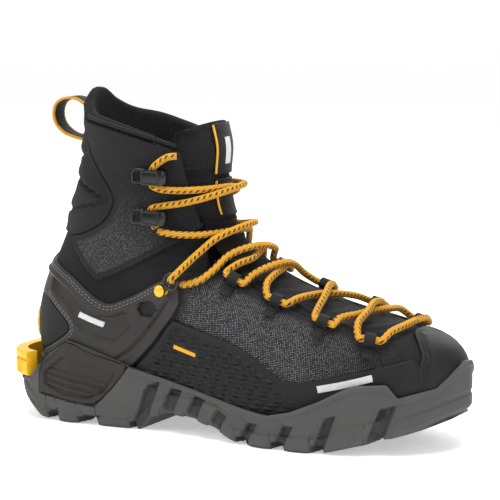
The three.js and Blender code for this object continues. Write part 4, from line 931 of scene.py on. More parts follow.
def panel(
    name, line, low, high, finish, body, edge=1.2, grain=2.0, relief=None, back=0.8, hole=None, flat=False, **about,
):
    """A cut panel of the upper, inside a closed [w, v] line, with rounded edges.

    low and high are the lifts of its edge and its face; relief adds to the face. hole is
    the line of an opening in it. flat lays the weave straight along the boot.
    """
    rim = spaced(line, grain * 0.6)
    area = (rim[:, 0] * np.roll(rim[:, 1], -1) - np.roll(rim[:, 0], -1) * rim[:, 1]).sum()
    if area < 0:
        rim = rim[::-1]
    opening = spaced(hole, 0.6) if hole is not None else np.zeros((0, 2))
    fine = bare_skin(*spaced(rim, 0.35).T)
    if hole is not None:
        fine = np.vstack([fine, bare_skin(*spaced(hole, 0.3).T)])
    tree = KDTree(len(fine))
    for i, p in enumerate(fine):
        tree.insert(p, i)
    tree.balance()

    def depth(stations):
        return np.array([tree.find(p)[2] for p in bare_skin(*stations.T)])

    rings = []
    for share in (0.1, 0.3, 0.6, 1.0, 1.8):
        ring = moved_in(rim, edge * share)
        rings.append(ring[inside(ring, rim) & (depth(ring) > edge * share * 0.85)])
    rows = []
    for v in np.arange(rim[:, 1].min(), rim[:, 1].max(), grain / 175):
        scale = np.linalg.norm(bare_skin(np.array([0.5]), np.array([v])) - bare_skin(np.array([0.49]), np.array([v])))
        step = grain / (scale * 100)
        rows.append(np.stack(np.broadcast_arrays(np.arange(rim[:, 0].min(), rim[:, 0].max(), step), v), -1))
    filling = np.vstack(rows)
    filling = filling[inside(filling, rim)]
    filling = filling[depth(filling) > edge * 1.8 + grain * 0.4]
    if hole is not None:
        collar = [moved_in(opening, by * edge) for by in (0.3, 1.0, -0.3, -1.0)]
        filling = np.vstack([filling, *[c[~inside(c, hole)] for c in collar]])
        filling = filling[~inside(filling, hole)]
        rings = [ring[~inside(ring, hole)] for ring in rings]
    stations = np.vstack([rim, opening, *rings, filling])
    stretch = np.array([300.0, 170.0])
    loop = list(range(len(rim)))
    gate = [len(rim) + k for k in range(len(opening))]
    found = delaunay_2d_cdt((stations * stretch).tolist(), list(zip(gate, gate[1:] + gate[:1])), [loop], 1, 1e-4)
    stations = np.array([list(p) for p in found[0]]) / stretch
    faces = np.array([f for f in found[2] if len(f) == 3])
    if hole is not None:
        faces = faces[~inside(stations[faces].mean(1), opening)]
    used = np.unique(faces)
    stations, faces = stations[used], np.searchsorted(used, faces)
    w, v = stations.T
    d = depth(stations)
    d[d < 0.18] = 0
    lift = low + (high - low) * np.sqrt(1 - (1 - np.clip(d / edge, 0, 1)) ** 2)
    place = bare_skin(w, v)
    if relief:
        lift = lift + relief(place, d, w, v) * np.clip(d / edge, 0, 1)
    count = len(w)
    sides = np.vstack([faces[:, [0, 1]], faces[:, [1, 2]], faces[:, [2, 0]]])
    _, first, shared = np.unique(np.sort(sides, 1), axis=0, return_index=True, return_counts=True)
    walls = [(b, a, a + count, b + count) for a, b in sides[first[shared == 1]]]
    top = place + skin_normal(w, v) * lift[:, None]
    bottom = place + skin_normal(w, v) * (low - back)
    whole = measured(RUN, 0 * w + 1.9999, v) - measured(RUN, 0 * w, v)
    cloth = np.stack([measured(RUN, w, v) - np.where(w < 0, whole, 0), measured(RISE, w, v), d], -1)
    if flat:
        cloth = np.stack([place[:, 0], place[:, 2] - np.abs(place[:, 1]), d], -1)
    return mesh_piece(
        name, np.vstack([top, bottom]), [*faces, *(faces[:, ::-1] + count), *walls], finish, body,
        cloth=np.vstack([cloth, cloth]), **about,
    )


def fabric(name, dark, light, pitch, rough=0.85, depth=0.25, flecks=0.0, fleck=(0.2, 0.2, 0.2), knit=False):
    """Woven or knitted cloth, its threads drawn from the distances that a panel keeps."""
    made = Finish(name, Roughness=rough)
    run, rise, edge = made.stored("cloth")
    place = made.where()
    if knit:
        weave = (run + rise.wave(pitch * 0.5) * (pitch * 0.12)).wave(pitch) * 0.7 + rise.wave(pitch * 0.8) * 0.3
    else:
        weave = (run + rise).wave(pitch) * (run - rise).wave(pitch)
    tone = weave * 0.3 + 0.25 + made.mottle(place, 18, 3) * 0.3
    shade = made.blend(tone, dark, light)
    if flecks:
        spots = (made.mottle(place, 0.9, 1).above(0.59 - flecks * 0.07, 0.13) * 0.85 + 0.15) * weave.above(0.25, 0.4)
        shade = made.blend(spots, shade, fleck)
    made.colour(shade)
    made.relief(weave, depth)
    made.rough(weave * 0.06 + rough)
    return made, shade, edge, place


VAMP_BACK = [[100, 20], [104, 45], [116, 66], [130, 88], [128, 103], [140, 106.5], [150, 105]]
THROAT_LATERAL = [
    [150, -24.5], [165, -25.5], [180, -27], [200, -28], [225, -29.5], [248, -29.5], [261, -26], [269, -18], [273, -7],
]
THROAT_MEDIAL = [
    [150, 24.5], [165, 26.5], [180, 28.5], [200, 31], [225, 34], [248, 35.5], [261, 32], [269, 25], [273, 15],
]
fan_w, fan_v = [a.ravel() for a in np.meshgrid(np.linspace(0.5, 1.5, 501), np.linspace(0.2, 0.75, 331))]
fan = bare_skin(fan_w, fan_v)
facing_up = skin_normal(fan_w, fan_v)[:, 2] > 0.15


def seen_from_above(outline):
    best = []
    for x, y in outline:
        gap = (fan[:, 0] - x * LENGTH_SCALE) ** 2 + (fan[:, 1] - y * WIDTH_SCALE) ** 2 + 1e6 * ~facing_up
        best.append([fan_w[np.argmin(gap)], fan_v[np.argmin(gap)]])
    return np.array(best)


throat = {"lateral": seen_from_above(THROAT_LATERAL), "medial": seen_from_above(THROAT_MEDIAL)}
THROAT_END = [1.0, float((throat["lateral"][-1, 1] + throat["medial"][-1, 1]) / 2)]

vamp_finish, shade, edge, place = fabric(
    "woven_cloth", (0.006, 0.006, 0.0065), (0.020, 0.020, 0.022), 2.3, flecks=1.2, fleck=(0.24, 0.24, 0.25),
    depth=0.35,
)
x, _, _ = vamp_finish.parts(place)
dark_part = x.above(95, 60).at_least(1 - edge.above(7, 7))
vamp_finish.colour(vamp_finish.blend(dark_part * 0.85, shade, (0.0065, 0.0065, 0.007)))
for name, side in SIDES.items():
    back = on(side, seen_from_side(VAMP_BACK))
    base = on(side, [[1.0, 0.0], [0.95, 0], [0.85, 0], [0.75, 0], [0.6, 0], [0.45, 0], [0.38, 0]])
    line = np.vstack([throat[name], [THROAT_END], [THROAT_END], base[:1], base, base[-1:], back])
    panel(
        f"weave_{name}", round_corners(line, 2), -3.1, -1.85, vamp_finish, "foot", edge=1.0, grain=1.7, flat=True,
        replaces=f"vamp_{name}", slot="woven_cloth",
    )

# ---------------------------------------------------------------- webbing loops
# Loops of folded black webbing carry the lace. Each is bar-tacked to the edge of the throat
# and lies down over the vamp.
web_finish = Finish("webbing", Roughness=0.7)
along, round_it, _ = web_finish.stored("strand")
ribs = along.wave(1.1) * 0.6 + round_it.wave(1.6) * 0.4
web_finish.colour(web_finish.blend(ribs * 0.5 + 0.5, (0.003, 0.003, 0.0035), (0.015, 0.015, 0.016)))
web_finish.relief(ribs, 0.25)


def band_profile(wide, thick, corner=0.4):
    """The section of a flat band with rounded corners."""
    quarter = [(math.cos(a), math.sin(a)) for a in (0.1, 0.8, 1.47)]
    return [
        (x * (wide / 2 - corner + corner * c), y * (thick / 2 - corner + corner * s))
        for x, y, order in ((1, 1, 1), (-1, 1, -1), (-1, -1, 1), (1, -1, -1)) for c, s in quarter[::order]
    ]


for i in range(4):
    for name, side in SIDES.items():
        centre, forward, out = loop_frame(i, side)
        across = np.cross(out, forward)
        down = -across if across[2] > 0 else across
        middle = LACE_HOLE + WEB / 2
        path = [(12.0, -middle - 0.2), (8, -middle), (4, -middle), (1.5, -middle)]
        path += [(-middle * math.sin(a), -middle * math.cos(a)) for a in np.linspace(0.2, 1.55 * math.pi, 14)]
        path += [(middle * 0.98, -middle * 0.45), (middle * 1.15, -middle * 0.75)]
        line = through([centre + down * reach + out * height for reach, height in path], 0.5)
        profiles = np.array([band_profile(7.0, WEB)] * len(line))
        run = np.linspace(0, 0.5 * len(line), len(line))
        waist = 1 - 0.16 * np.exp(-(((run - 9.5) / 2.2) ** 2))
        profiles[..., 0] *= waist[:, None]
        swept(
            f"loop_{i + 1}_{name}", line, forward, profiles, web_finish, "foot",
            replaces=f"web_loop_{i + 1}_{name}", slot="webbing",
        )
        tack = [(centre + down * r + out * (-middle + WEB / 2 + 0.28)) for r in np.linspace(5.2, 7.6, 9)]
        swept(
            f"loop_tack_{i + 1}_{name}", tack, forward,
            [band_profile(6.2, 0.75 if k % 2 else 0.35, 0.15) for k in range(9)], web_finish, "foot", slot="webbing",
        )

# ---------------------------------------------------------------- heel frame
# A semi-rigid moulded frame cups the heel. Its V edge is stitched twice, a strap runs down to
# the sole in front, and a six-sided window beside the rivet is backed with mesh.
V_EDGE = [[-10, 108], [22, 104], [34, 101], [50, 95], [62, 87], [72, 81], [79, 79], [87, 82], [107, 92], [119, 98.5]]
WINDOW = np.array([[100.5, 78], [103.5, 82], [111, 83.3], [114.5, 79], [110.5, 74], [103, 73.8]])
WINDOW_CENTRE = [107.3, 78.5]
STRAP_LINE = np.array([[124, 86], [113, 72], [103, 60], [93, 50], [84, 44]], float)
PLATE = np.array([
    [30, 93], [48, 87], [60, 79], [72, 72], [83, 72.5], [92, 76], [96, 66], [84, 55], [72, 56], [58, 60],
    [46, 75], [30, 84],
], float)
frame_finish = moulded(
    "frame_plastic", 0.5, (0.018, 0.0155, 0.015), (0.032, 0.028, 0.027), 16, 0.9, 0.6, 0.42, 0.55, 0.1,
)
mesh_finish = Finish("window_mesh", Roughness=0.6)
holes = mesh_finish.cells(mesh_finish.where(), 1.1)
mesh_finish.colour(mesh_finish.blend(holes.above(0.45, 0.2), (0.002, 0.002, 0.002), (0.010, 0.010, 0.010)))
mesh_finish.relief(holes, 0.3)
thread_finish = Finish("thread", Roughness=0.6)
twist = thread_finish.mottle(thread_finish.where(), 0.4)
thread_finish.colour(thread_finish.blend(twist, (0.11, 0.105, 0.10), (0.24, 0.235, 0.23)))


def stitches(name, lines, lift, finish, body, pitch=3.0, length=2.1, thread=0.3, slot=None):
    """A row of thread stitches, sunk a little into the cloth, along open [w, v] lines."""
    ring = [(math.cos(a), math.sin(a)) for a in np.linspace(0, 2 * math.pi, 7)[:-1]]
    profile = [(-0.5, 0.25, -0.5), (-0.3, 0.9, 0.25), (0, 1.0, 0.4), (0.3, 0.9, 0.25), (0.5, 0.25, -0.5)]
    points, faces = [], []
    for line in lines:
        at = spaced(np.array(line), pitch, closed=False)
        places = skin(*at.T, lift)
        for p, n, t in zip(places, skin_normal(*at.T), headings(places)):
            b = np.cross(n, t)
            start = len(points)
            for along, fat, up in profile:
                for c, s in ring:
                    points.append(p + t * along * length + n * thread * (up + s * fat) + b * thread * c * fat)
            faces += grid_faces(len(profile), 6, True, start)
            faces.append(tuple(start + k for k in range(5, -1, -1)))
            faces.append(tuple(start + 24 + k for k in range(6)))
    return mesh_piece(name, points, faces, finish, body, slot=slot)


def seam_lines(side, stations, *distances):
    """Open lines that follow an edge on one side of the boot, at distances from it."""
    edge_line = spaced(round_corners(on(side, stations), 2, closed=False), 1.5, closed=False)
    return [moved_in(edge_line, by * side, closed=False) for by in distances]


def to_line(place, line):
    return from_line(place[:, [0, 2]], np.asarray(line, float))


def frame_relief(place, d, w, v):
    from_v = to_line(place, V_EDGE)
    x, z = place[:, 0], place[:, 2]
    rim = 1.5 * np.exp(-(((from_v - 7.2) / 1.5) ** 2)) * (1 - smooth(100, 112, x))
    plate = -1.9 * rounded_step(polygon_depth(x, z, PLATE), 1.3)
    strap = -0.9 * np.exp(-((to_line(place, STRAP_LINE) / 0.9) ** 2))
    strap += 1.1 * np.exp(-(((to_line(place, STRAP_LINE) - 2.8) / 1.4) ** 2)) * (x > 84)
    return rim + plate + strap


FRAME = [
    [-10, 108], [-10, 108], *V_EDGE[1:], [127, 99], [127, 99], [132, 94], [134, 89], [120, 69], [107, 52], [94, 39],
    [86, 20], [86, 20], [20, 20], [20, 20], [20, 43], [32, 48], [49, 58.5], [50, 64], [38, 73], [26.7, 80],
    [-10, 80], [-10, 80],
]
for name, side in SIDES.items():
    line = round_corners(on(side, seen_from_side(FRAME)), 2)
    window = on(side, seen_from_side(WINDOW))
    panel(
        f"heel_frame_{name}", line, -1.45, 0.0, frame_finish, "foot", edge=1.1, grain=1.0, relief=frame_relief,
        hole=window, replaces=f"frame_{name}", slot="frame_plastic", sharp=50,
    )
    behind = on(side, seen_from_side((WINDOW - WINDOW_CENTRE) * 1.25 + WINDOW_CENTRE))
    panel(f"window_{name}", behind, -2.6, -1.75, mesh_finish, "foot", edge=0.5, grain=1.0)
    seams = seam_lines(side, seen_from_side(V_EDGE[1:] + [[126, 98.5]]), 2.1, 3.9)
    stitches(f"v_stitch_{name}", seams, 0.02, thread_finish, "foot")

# ---------------------------------------------------------------- rivets and swivelling rings
# A domed yellow rivet closes each arm of the heel frame. A flat dark metal link turns on its
# shaft and passes the lace from the foot up to the ankle.
metal_finish = Finish("dark_metal", Metallic=0.2, Roughness=0.24)
metal_finish.shader.inputs["Base Color"].default_value = (0.006, 0.006, 0.007, 1)
place = metal_finish.where()
metal_finish.rough(metal_finish.mottle(place, 3) * 0.16 + 0.16)


def turned(name, place, axis, profile, finish, body, **about):
    """A round piece turned about an axis from [radius, height] points."""
    side = unit(np.cross(axis, (0.3, 0.1, 1.0)))
    other = np.cross(axis, side)
    points = [
        place + axis * h + (side * math.cos(a) + other * math.sin(a)) * r
        for r, h in profile for a in np.linspace(0, 2 * math.pi, 41)[:-1]
    ]
    faces = grid_faces(len(profile), 40, True)
    last = (len(profile) - 1) * 40
    faces += [tuple(range(39, -1, -1)), tuple(last + k for k in range(40))]
    return mesh_piece(name, points, faces, finish, body, **about)


HUB = 2.85
rivet_finish = Finish("yellow_metal", Metallic=0.35, Roughness=0.35)
rivet_finish.shader.inputs["Base Color"].default_value = (0.85, 0.45, 0.02, 1)
rivet_finish.rough(rivet_finish.mottle(rivet_finish.where(), 2) * 0.2 + 0.25)
for name, side in SIDES.items():
    place, forward, inner, up = fixture(side, *RIVET, 0)
    out = inner * side
    head = RING_LIFT + RING_THICKNESS + 0.4
    turned(f"dome_{name}", place, out, [
        (3.0, 0.2), (3.2, 0.3), (3.2, RING_LIFT - 0.5), (1.8, RING_LIFT - 0.4), (1.8, head), (3.5, head),
        (3.8, head + 0.25), (3.75, head + 0.6), (3.3, head + 1.1), (2.5, head + 1.5), (1.3, head + 1.72),
        (0.2, head + 1.78),
    ], rivet_finish, "foot", replaces=f"rivet_{name}", slot="yellow_metal")
    reach = forward * math.cos(RING_ANGLE) + up * math.sin(RING_ANGLE)
    beside = np.cross(out, reach)
    middle = place + out * (RING_LIFT + RING_THICKNESS / 2)
    rim = RING_EYE + RING_BAR / 2
    around = np.linspace(math.pi + 0.05, -math.pi + 0.05 + 0.02, 44)
    circle = [middle + reach * (RING_REACH + rim * math.cos(a)) + beside * rim * math.sin(a) for a in around]
    swept(
        f"link_{name}", circle, out, oval(0.8, 1.05), metal_finish, f"ring_{name}",
        replaces=f"lace_ring_{name}", slot="dark_metal",
    )
    around = np.linspace(0, 2 * math.pi, 32)
    hub = [middle + reach * HUB * math.cos(a) + beside * HUB * math.sin(a) for a in around]
    swept(f"link_hub_{name}", hub, out, oval(0.78, 0.8), metal_finish, f"ring_{name}", slot="dark_metal")
    arm = [middle + reach * r for r in np.linspace(3.0, 6.0, 5)]
    swept(
        f"link_arm_{name}", arm, out, band_profile(1.5, 5.2, 0.5), metal_finish, f"ring_{name}", slot="dark_metal",
    )

# ---------------------------------------------------------------- heel patch
# A smooth black softshell patch closes the frame behind the heel, from the sole up to the
# ankle. It is tucked under the edges of the frame and held by two rows of pale thread.
PATCH_EDGE = [[26.7, 80], [38, 73], [50, 64], [49, 58.5], [32, 48], [20, 43], [20, 20]]
patch_finish, *_ = fabric(
    "softshell", (0.006, 0.006, 0.0065), (0.012, 0.012, 0.013), 0.8, rough=0.7, depth=0.08,
)


def over_heel(around):
    """The outline of a panel that wraps the heel, from its line on the outer side."""
    mirrored = (around * [-1, 1])[::-1]
    line = np.vstack([around[:1], around, around[-1:], mirrored[:1], mirrored, mirrored[-1:]])
    return round_corners(line, 2)


around = seen_from_side(PATCH_EDGE)
panel(
    "patch", over_heel(around), -1.2, -0.1, patch_finish, "foot", edge=0.9, grain=1.6,
    replaces="heel_patch", slot="softshell",
)
for name, side in SIDES.items():
    stitches(f"patch_stitch_{name}", seam_lines(side, around[:-1], -1.6, -3.2), -0.1, thread_finish, "foot")

# ---------------------------------------------------------------- heel trim
# A tab of the same yellow plastic as the welt, with moulded cross ribs, is bonded over the
# middle of the heel patch, just above the welt.
ribbed = spaced(round_corners([[-0.055, 0.055], [0.055, 0.055], [0.05, 0.215], [-0.05, 0.215]], 2), 1.0)
panel(
    "trim_rib", ribbed, 0.3, 2.1, welt_finish, "foot", edge=1.6, grain=1.0,
    relief=lambda p, d, w, v: -0.8 * np.exp(-(((p[:, 2] - 45) % 7 - 3.5) / 0.7) ** 2),
    replaces="heel_trim", slot="yellow_plastic",
)

# ---------------------------------------------------------------- rand
# A black film is bonded round the foot above the sole. Rows of short dashes are embossed in
# it beside the arch, and a fine line runs under its top edge.
RAND = [
    [128, 73], [128, 73], [149, 68], [179, 60], [194, 50], [210, 41], [226, 43], [251, 50], [279, 57.5], [287, 60],
    [288, 30], [290, 10], [290, 10], [88, 10], [88, 10], [95.5, 37.5], [108.5, 50.5], [121.5, 67.5],
]
film_finish = moulded("film", 0.5, (0.0045, 0.0045, 0.005), (0.009, 0.009, 0.0095), 12, 0.7, 0.5, 0.5, 0.6, 0.06)


def rand_relief(place, d, w, v):
    x, z = place[:, 0], place[:, 2]
    row = (z + 0.045 * x) / 2.9
    dash = (x + 4.7 * (np.floor(row) % 2) + 1.3 * np.sin(np.floor(row) * 2.1)) / 9.4
    bar = rounded_step(0.36 - np.abs(row % 1 - 0.5), 0.16) * rounded_step(0.38 - np.abs(dash % 1 - 0.5), 0.07)
    bar = bar * rounded_step(d - 3.5, 1.0) * (1 - smooth(196, 222, x)) * smooth(104, 110, x - 0.45 * (z - 40))
    beside = x - 136.2
    bar *= 1 - rounded_step(11 - np.abs(beside), 1.2) * rounded_step(3.4 - np.abs(z - 54.3 + 0.24 * beside), 1.0)
    ribs = np.maximum(np.sin((x - 0.9 * z) * 2 * math.pi / 6.2), 0) * rounded_step(d - 2.5, 1)
    ribs *= 1 - smooth(98, 106, x - 0.45 * (z - 40))
    border = -0.35 * np.exp(-(((d - 2.3) / 0.45) ** 2))
    return 1.25 * bar + 1.0 * ribs + border


for name, side in SIDES.items():
    line = on(side, seen_from_side(RAND))
    line[line[:, 1] < 0.001, 1] = -0.05
    line = round_corners(line, 2)
    panel(
        f"rand_film_{name}", line, -1.45, 0.0, film_finish, "foot", edge=0.9, grain=0.85, relief=rand_relief,
        replaces=f"rand_{name}", slot="film", sharp=60,
    )

# ---------------------------------------------------------------- toe cap
# A smooth black cap of the same film is bonded over the stiffened toe. Two close seams mark
# its back edge.
CAP_EDGE = np.array([
    [0.842, 0.0], [0.842, 0.10], [0.850, 0.16], [0.872, 0.19], [0.890, 0.23], [0.930, 0.272], [0.965, 0.286],
])
cap = np.vstack([CAP_EDGE[:1], CAP_EDGE, [[1.0, 0.287]], (CAP_EDGE * [-1, 1] + [2, 0])[::-1], [[1.158, 0.0]]])


def cap_relief(place, d, w, v):
    seam = -0.5 * np.exp(-(((d - 3.0) / 0.5) ** 2)) - 0.5 * np.exp(-(((d - 6.2) / 0.5) ** 2))
    return (seam + 0.25 * np.exp(-(((d - 4.6) / 1.0) ** 2))) * smooth(0.03, 0.08, v)


panel(
    "toe_guard", round_corners(cap, 2), -1.45, 0.05, film_finish, "foot", edge=0.9, grain=1.3, relief=cap_relief,
    replaces="toe_cap", slot="film",
)

# ---------------------------------------------------------------- ankle stretch
# Stretch knit joins the foot to the cuff all round the ankle and lets it hinge. It is sewn
# under the heel frame below and under the hem of the cuff above.
HEM = [[52, 110], [70, 93.5], [70, 93.5], [104, 109.5], [130, 124.5], [141, 131]]
stretch_finish, *_ = fabric(
    "stretch_knit", (0.005, 0.005, 0.0055), (0.012, 0.012, 0.0125), 1.3, depth=0.2, knit=True,
)
under = seen_from_side([
    [-20, 106], [22, 101], [34, 98], [50, 92], [62, 84], [72, 78], [79, 76], [87, 79], [107, 89], [119, 96],
    [127, 101], [140, 105], [150, 104],
])
over = seen_from_side([[-20, 124], [45, 124], [52, 114], [70, 98], [104, 113], [130, 128], [140, 132], [146, 117]])
lower = np.vstack([(under * [-1, 1])[::-1], under[1:]])
upper = np.vstack([over[::-1], (over * [-1, 1])[1:]])
BEND = ("foot", "cuff", [76, 0, 84], [76, 0, 122])


def crease(place, d, w, v):
    return 0.5 * np.sin(place[:, 2] * 2 * math.pi / 6.5) * smooth(95, 125, place[:, 0])


panel(
    "ankle_stretch", round_corners(np.vstack([lower, upper]), 2), -3.3, -1.9, stretch_finish, BEND, edge=1.0,
    grain=1.8, relief=crease, replaces="flex_zone", slot="stretch_knit",
)

# ---------------------------------------------------------------- cuff
# One softshell panel each side, its lower part a flecked knit that fades upwards. The front
# edge is doubled to hold the hooks, and the hem has one row of dark stitches.
dark_thread = Finish("thread_dark", Roughness=0.6)
twist = dark_thread.mottle(dark_thread.where(), 0.4)
dark_thread.colour(dark_thread.blend(twist, (0.012, 0.012, 0.012), (0.04, 0.04, 0.04)))
CUFF_FRONT = [[141, 131], [135.5, 145], [131.5, 160], [128, 178]]
ACHILLES_EDGE = [
    [45, 121], [52, 121.5], [64, 125.5], [78, 133.5], [84, 144], [82.5, 151], [76, 159], [67, 169], [53, 190],
    [51, 196],
]
CUFF_TOP = [[104, 186], [83, 192], [68, 194.5]]
cuff_finish, shade, edge, place = fabric(
    "softshell_cuff", (0.006, 0.006, 0.0065), (0.015, 0.015, 0.016), 2.2, rough=0.82, flecks=1.0,
    fleck=(0.17, 0.17, 0.175), depth=0.25,
)
x, _, z = cuff_finish.parts(place)
plain = z.above(138, 34).at_least(1 - edge.above(4.5, 2)).at_least(x.above(-38, 14))
cuff_finish.colour(cuff_finish.blend(plain * 0.85, shade, (0.008, 0.008, 0.0088)))


def cuff_relief(place, d, w, v):
    x, z = place[:, 0], place[:, 2]
    eyestay = to_line(place, CUFF_FRONT)
    seam = 0.35 * np.exp(-(((eyestay - 2.8) / 0.5) ** 2))
    return 0.45 * rounded_step(15 - eyestay, 1.2) - seam + 0.25 * np.sin(z / 9 + x / 14)


for name, side in SIDES.items():
    outline = [*HEM[:1], *HEM, *CUFF_FRONT[:1], *CUFF_FRONT, *CUFF_FRONT[-1:], *CUFF_TOP, *ACHILLES_EDGE[::-1]]
    line = round_corners(on(side, seen_from_side(outline)), 2)
    panel(
        f"cuff_shell_{name}", line, -1.45, 0.0, cuff_finish, "cuff", edge=1.1, grain=1.6, relief=cuff_relief,
        replaces=f"cuff_{name}", slot="softshell",
    )
    stitches(f"hem_stitch_{name}", seam_lines(side, seen_from_side(HEM), -2.0), 0.0, dark_thread, "cuff")

# ---------------------------------------------------------------- hooks
# Two open hooks of dark cast metal are riveted to the front edge of each side of the cuff. Each
# is a plate folded over the lace, with a rim on top and a wire guard behind.
HOOK_LENGTH, HOOK_WIDTH = 12, 10
for level, (t, v) in {"upper": (0.606, 0.811), "lower": (0.6, 0.694)}.items():
    for name, side in SIDES.items():
        place, forward, inner, up = fixture(side, t, v, GAP + 0.25)
        out = inner * side
        gap = LACE + 2 * GAP + 0.3
        bend = (gap + HOOK_PLATE) / 2
        half = HOOK_LENGTH / 2
        path = [(-7.5, 0.6), (-3, 0.6), (half, 0.6)]
        path += [(half + bend * math.sin(a), 0.6 + bend - bend * math.cos(a)) for a in np.linspace(0.4, 2.75, 7)]
        path += [(half, 0.6 + 2 * bend), (0, 0.6 + 2 * bend), (-half, 0.5 + 2 * bend)]
        line = through([place + forward * x + out * y for x, y in path], 0.7)
        profiles = np.array([band_profile(HOOK_WIDTH, HOOK_PLATE, 0.5)] * len(line))
        share = np.linspace(0, 1, len(line))
        profiles[..., 0] *= (1 - 0.18 * np.exp(-(((share - 0.55) / 0.1) ** 2)))[:, None]
        swept(
            f"clip_{level}_{name}", line, up, profiles, metal_finish, "cuff", ends=(0.8, 0.8),
            replaces=f"hook_{level}_{name}", slot="dark_metal",
        )
        plate_top = 0.6 + 2 * bend + HOOK_PLATE / 2
        rim_line = [(5, 3.4), (0, 3.6), (-5, 3.4), (-5.4, 0), (-5, -3.4), (0, -3.6), (5, -3.4), (5.4, 0), (5, 3.4)]
        rim = through([place + forward * x + up * z + out * plate_top for x, z in rim_line], 0.6)
        swept(f"clip_rim_{level}_{name}", rim, out, oval(0.45, 0.6), metal_finish, "cuff", slot="dark_metal")
        half_guard = [(-5.5, 3.9), (-9, 4.1), (-12.2, 3.9), (-13, 2.6), (-13, 0)]
        frame_line = half_guard + [(x, -z) for x, z in half_guard[-2::-1]]
        rod = through([place + forward * x + up * z + out * 1.1 for x, z in frame_line], 0.6)
        swept(f"clip_bar_{level}_{name}", rod, out, oval(1.0, 0.95), metal_finish, "cuff", slot="dark_metal")

# ---------------------------------------------------------------- Achilles pad
# A foam pad under softshell wraps the back of the ankle. It creases across where it bends and
# is sewn down at its edge.
def pad_relief(place, d, w, v):
    z, x = place[:, 2], place[:, 0]
    puff = 2.6 * rounded_step(d, 14)
    folds = 0
    for level, deep, slope in ((138, 2.0, 0.25), (157, 2.8, -0.35), (172, 1.8, 0.2), (188, 1.2, 0.1)):
        bent = z - level - slope * (x - 48)
        fold = np.exp(-((bent / 1.5) ** 2)) - 0.35 * np.exp(-(((bent - 5) / 3.5) ** 2))
        folds = folds - deep * fold * rounded_step(d - 2, 9)
    return puff + folds - 1.2


pad_finish, *_ = fabric(
    "softshell_pad", (0.0065, 0.0065, 0.007), (0.013, 0.013, 0.014), 0.9, rough=0.75, depth=0.12,
)
pad = panel(
    "ankle_pad", over_heel(seen_from_side([*ACHILLES_EDGE, [50, 206]])), -1.6, 0.9, pad_finish, "cuff",
    edge=2.4, grain=1.7, relief=pad_relief, replaces="achilles_pad", slot="softshell",
)

# ---------------------------------------------------------------- collar
# A padded knitted sock stands above the cuff and rolls over at its top. A narrow binding of
# webbing finishes the edge of the cuff in front of it.
def quilt(name, w, v, low, high, finish, body, edge=2.0, relief=None, **about):
    """A padded slab over a grid of stations, thickest inside its edges."""
    place = bare_skin(w.ravel(), v.ravel()).reshape(*w.shape, 3)
    long = np.linalg.norm(np.diff(place, axis=0), axis=2)
    tall = np.linalg.norm(np.diff(place, axis=1), axis=2)
    along = np.concatenate([np.zeros((1, w.shape[1])), np.cumsum(long, 0)])
    up = np.concatenate([np.zeros((w.shape[0], 1)), np.cumsum(tall, 1)], 1)
    d = np.minimum(np.minimum(along, along[-1:] - along), np.minimum(up, up[:, -1:] - up))
    swell = np.sqrt(1 - (1 - np.clip(d / edge, 0, 1)) ** 2)
    middle = (np.asarray(low) + np.asarray(high)) / 2
    half = (np.asarray(high) - np.asarray(low)) / 2
    front = middle + half * swell
    if relief:
        front = front + relief(place, d, w, v) * np.clip(d / edge, 0, 1)
    behind = middle - half * swell
    normal = skin_normal(w.ravel(), v.ravel())
    flat = place.reshape(-1, 3)
    top = flat + normal * np.broadcast_to(front, w.shape).reshape(-1, 1)
    bottom = flat + normal * np.broadcast_to(behind, w.shape).reshape(-1, 1)
    rows, columns = w.shape
    count = rows * columns
    faces = grid_faces(rows, columns)
    if np.cross(flat[columns] - flat[0], flat[1] - flat[0]) @ normal[0] < 0:
        faces = [f[::-1] for f in faces]
    rim = [i for i in range(columns)] + [(i + 1) * columns - 1 for i in range(1, rows)]
    rim += [count - 1 - i for i in range(1, columns)] + [(rows - 1 - i) * columns for i in range(1, rows - 1)]
    backs = [tuple(k + count for k in f)[::-1] for f in faces]
    walls = [(a, b, b + count, a + count) for a, b in zip(rim, rim[1:] + rim[:1])]
    cloth = np.stack([along, up, d], -1).reshape(-1, 3)
    return mesh_piece(
        name, np.vstack([top, bottom]), [*faces, *backs, *walls], finish, body,
        cloth=np.vstack([cloth, cloth]), **about,
    )


def stations(count, ends=0.012):
    return np.r_[0, ends * 0.25, ends, np.linspace(ends * 2.5, 1 - ends * 2.5, count), 1 - ends, 1 - ends * 0.25, 1]


knit_finish, *_ = fabric(
    "collar_knit", (0.0065, 0.0065, 0.007), (0.017, 0.017, 0.018), 1.9, rough=0.9, depth=0.45, knit=True,
)
SOCK_TOP = np.array([
    [0, 1.018], [0.08, 1.012], [0.16, 0.985], [0.26, 0.962], [0.4, 0.952], [0.5, 0.94], [0.6, 0.922],
])
SOCK_LOW = np.array([[0, 0.64], [0.2, 0.62], [0.35, 0.6], [0.5, 0.645], [0.6, 0.7]])
column = -0.6 + 1.2 * stations(110, 0.008)
t = np.abs(column)
top = curve(SOCK_TOP, t)[:, 0] + 0.012
low = np.interp(t, *SOCK_LOW.T)
share = stations(60, 0.012)
w = np.broadcast_to(column[:, None], (len(column), len(share)))
v = low[:, None] + (top - low)[:, None] * share
swollen = 2.6 * smooth(0.86, 0.97, v) * (1 - smooth(0.99, 1.03, v))
sock = quilt(
    "collar_padding", w, v, -7.6, -3.6 + swollen * 0.9, knit_finish, "cuff", edge=4.0,
    relief=lambda p, d, w, v: 0.35 * np.sin(v * 40), replaces="collar_sock", slot="stretch_knit",
)

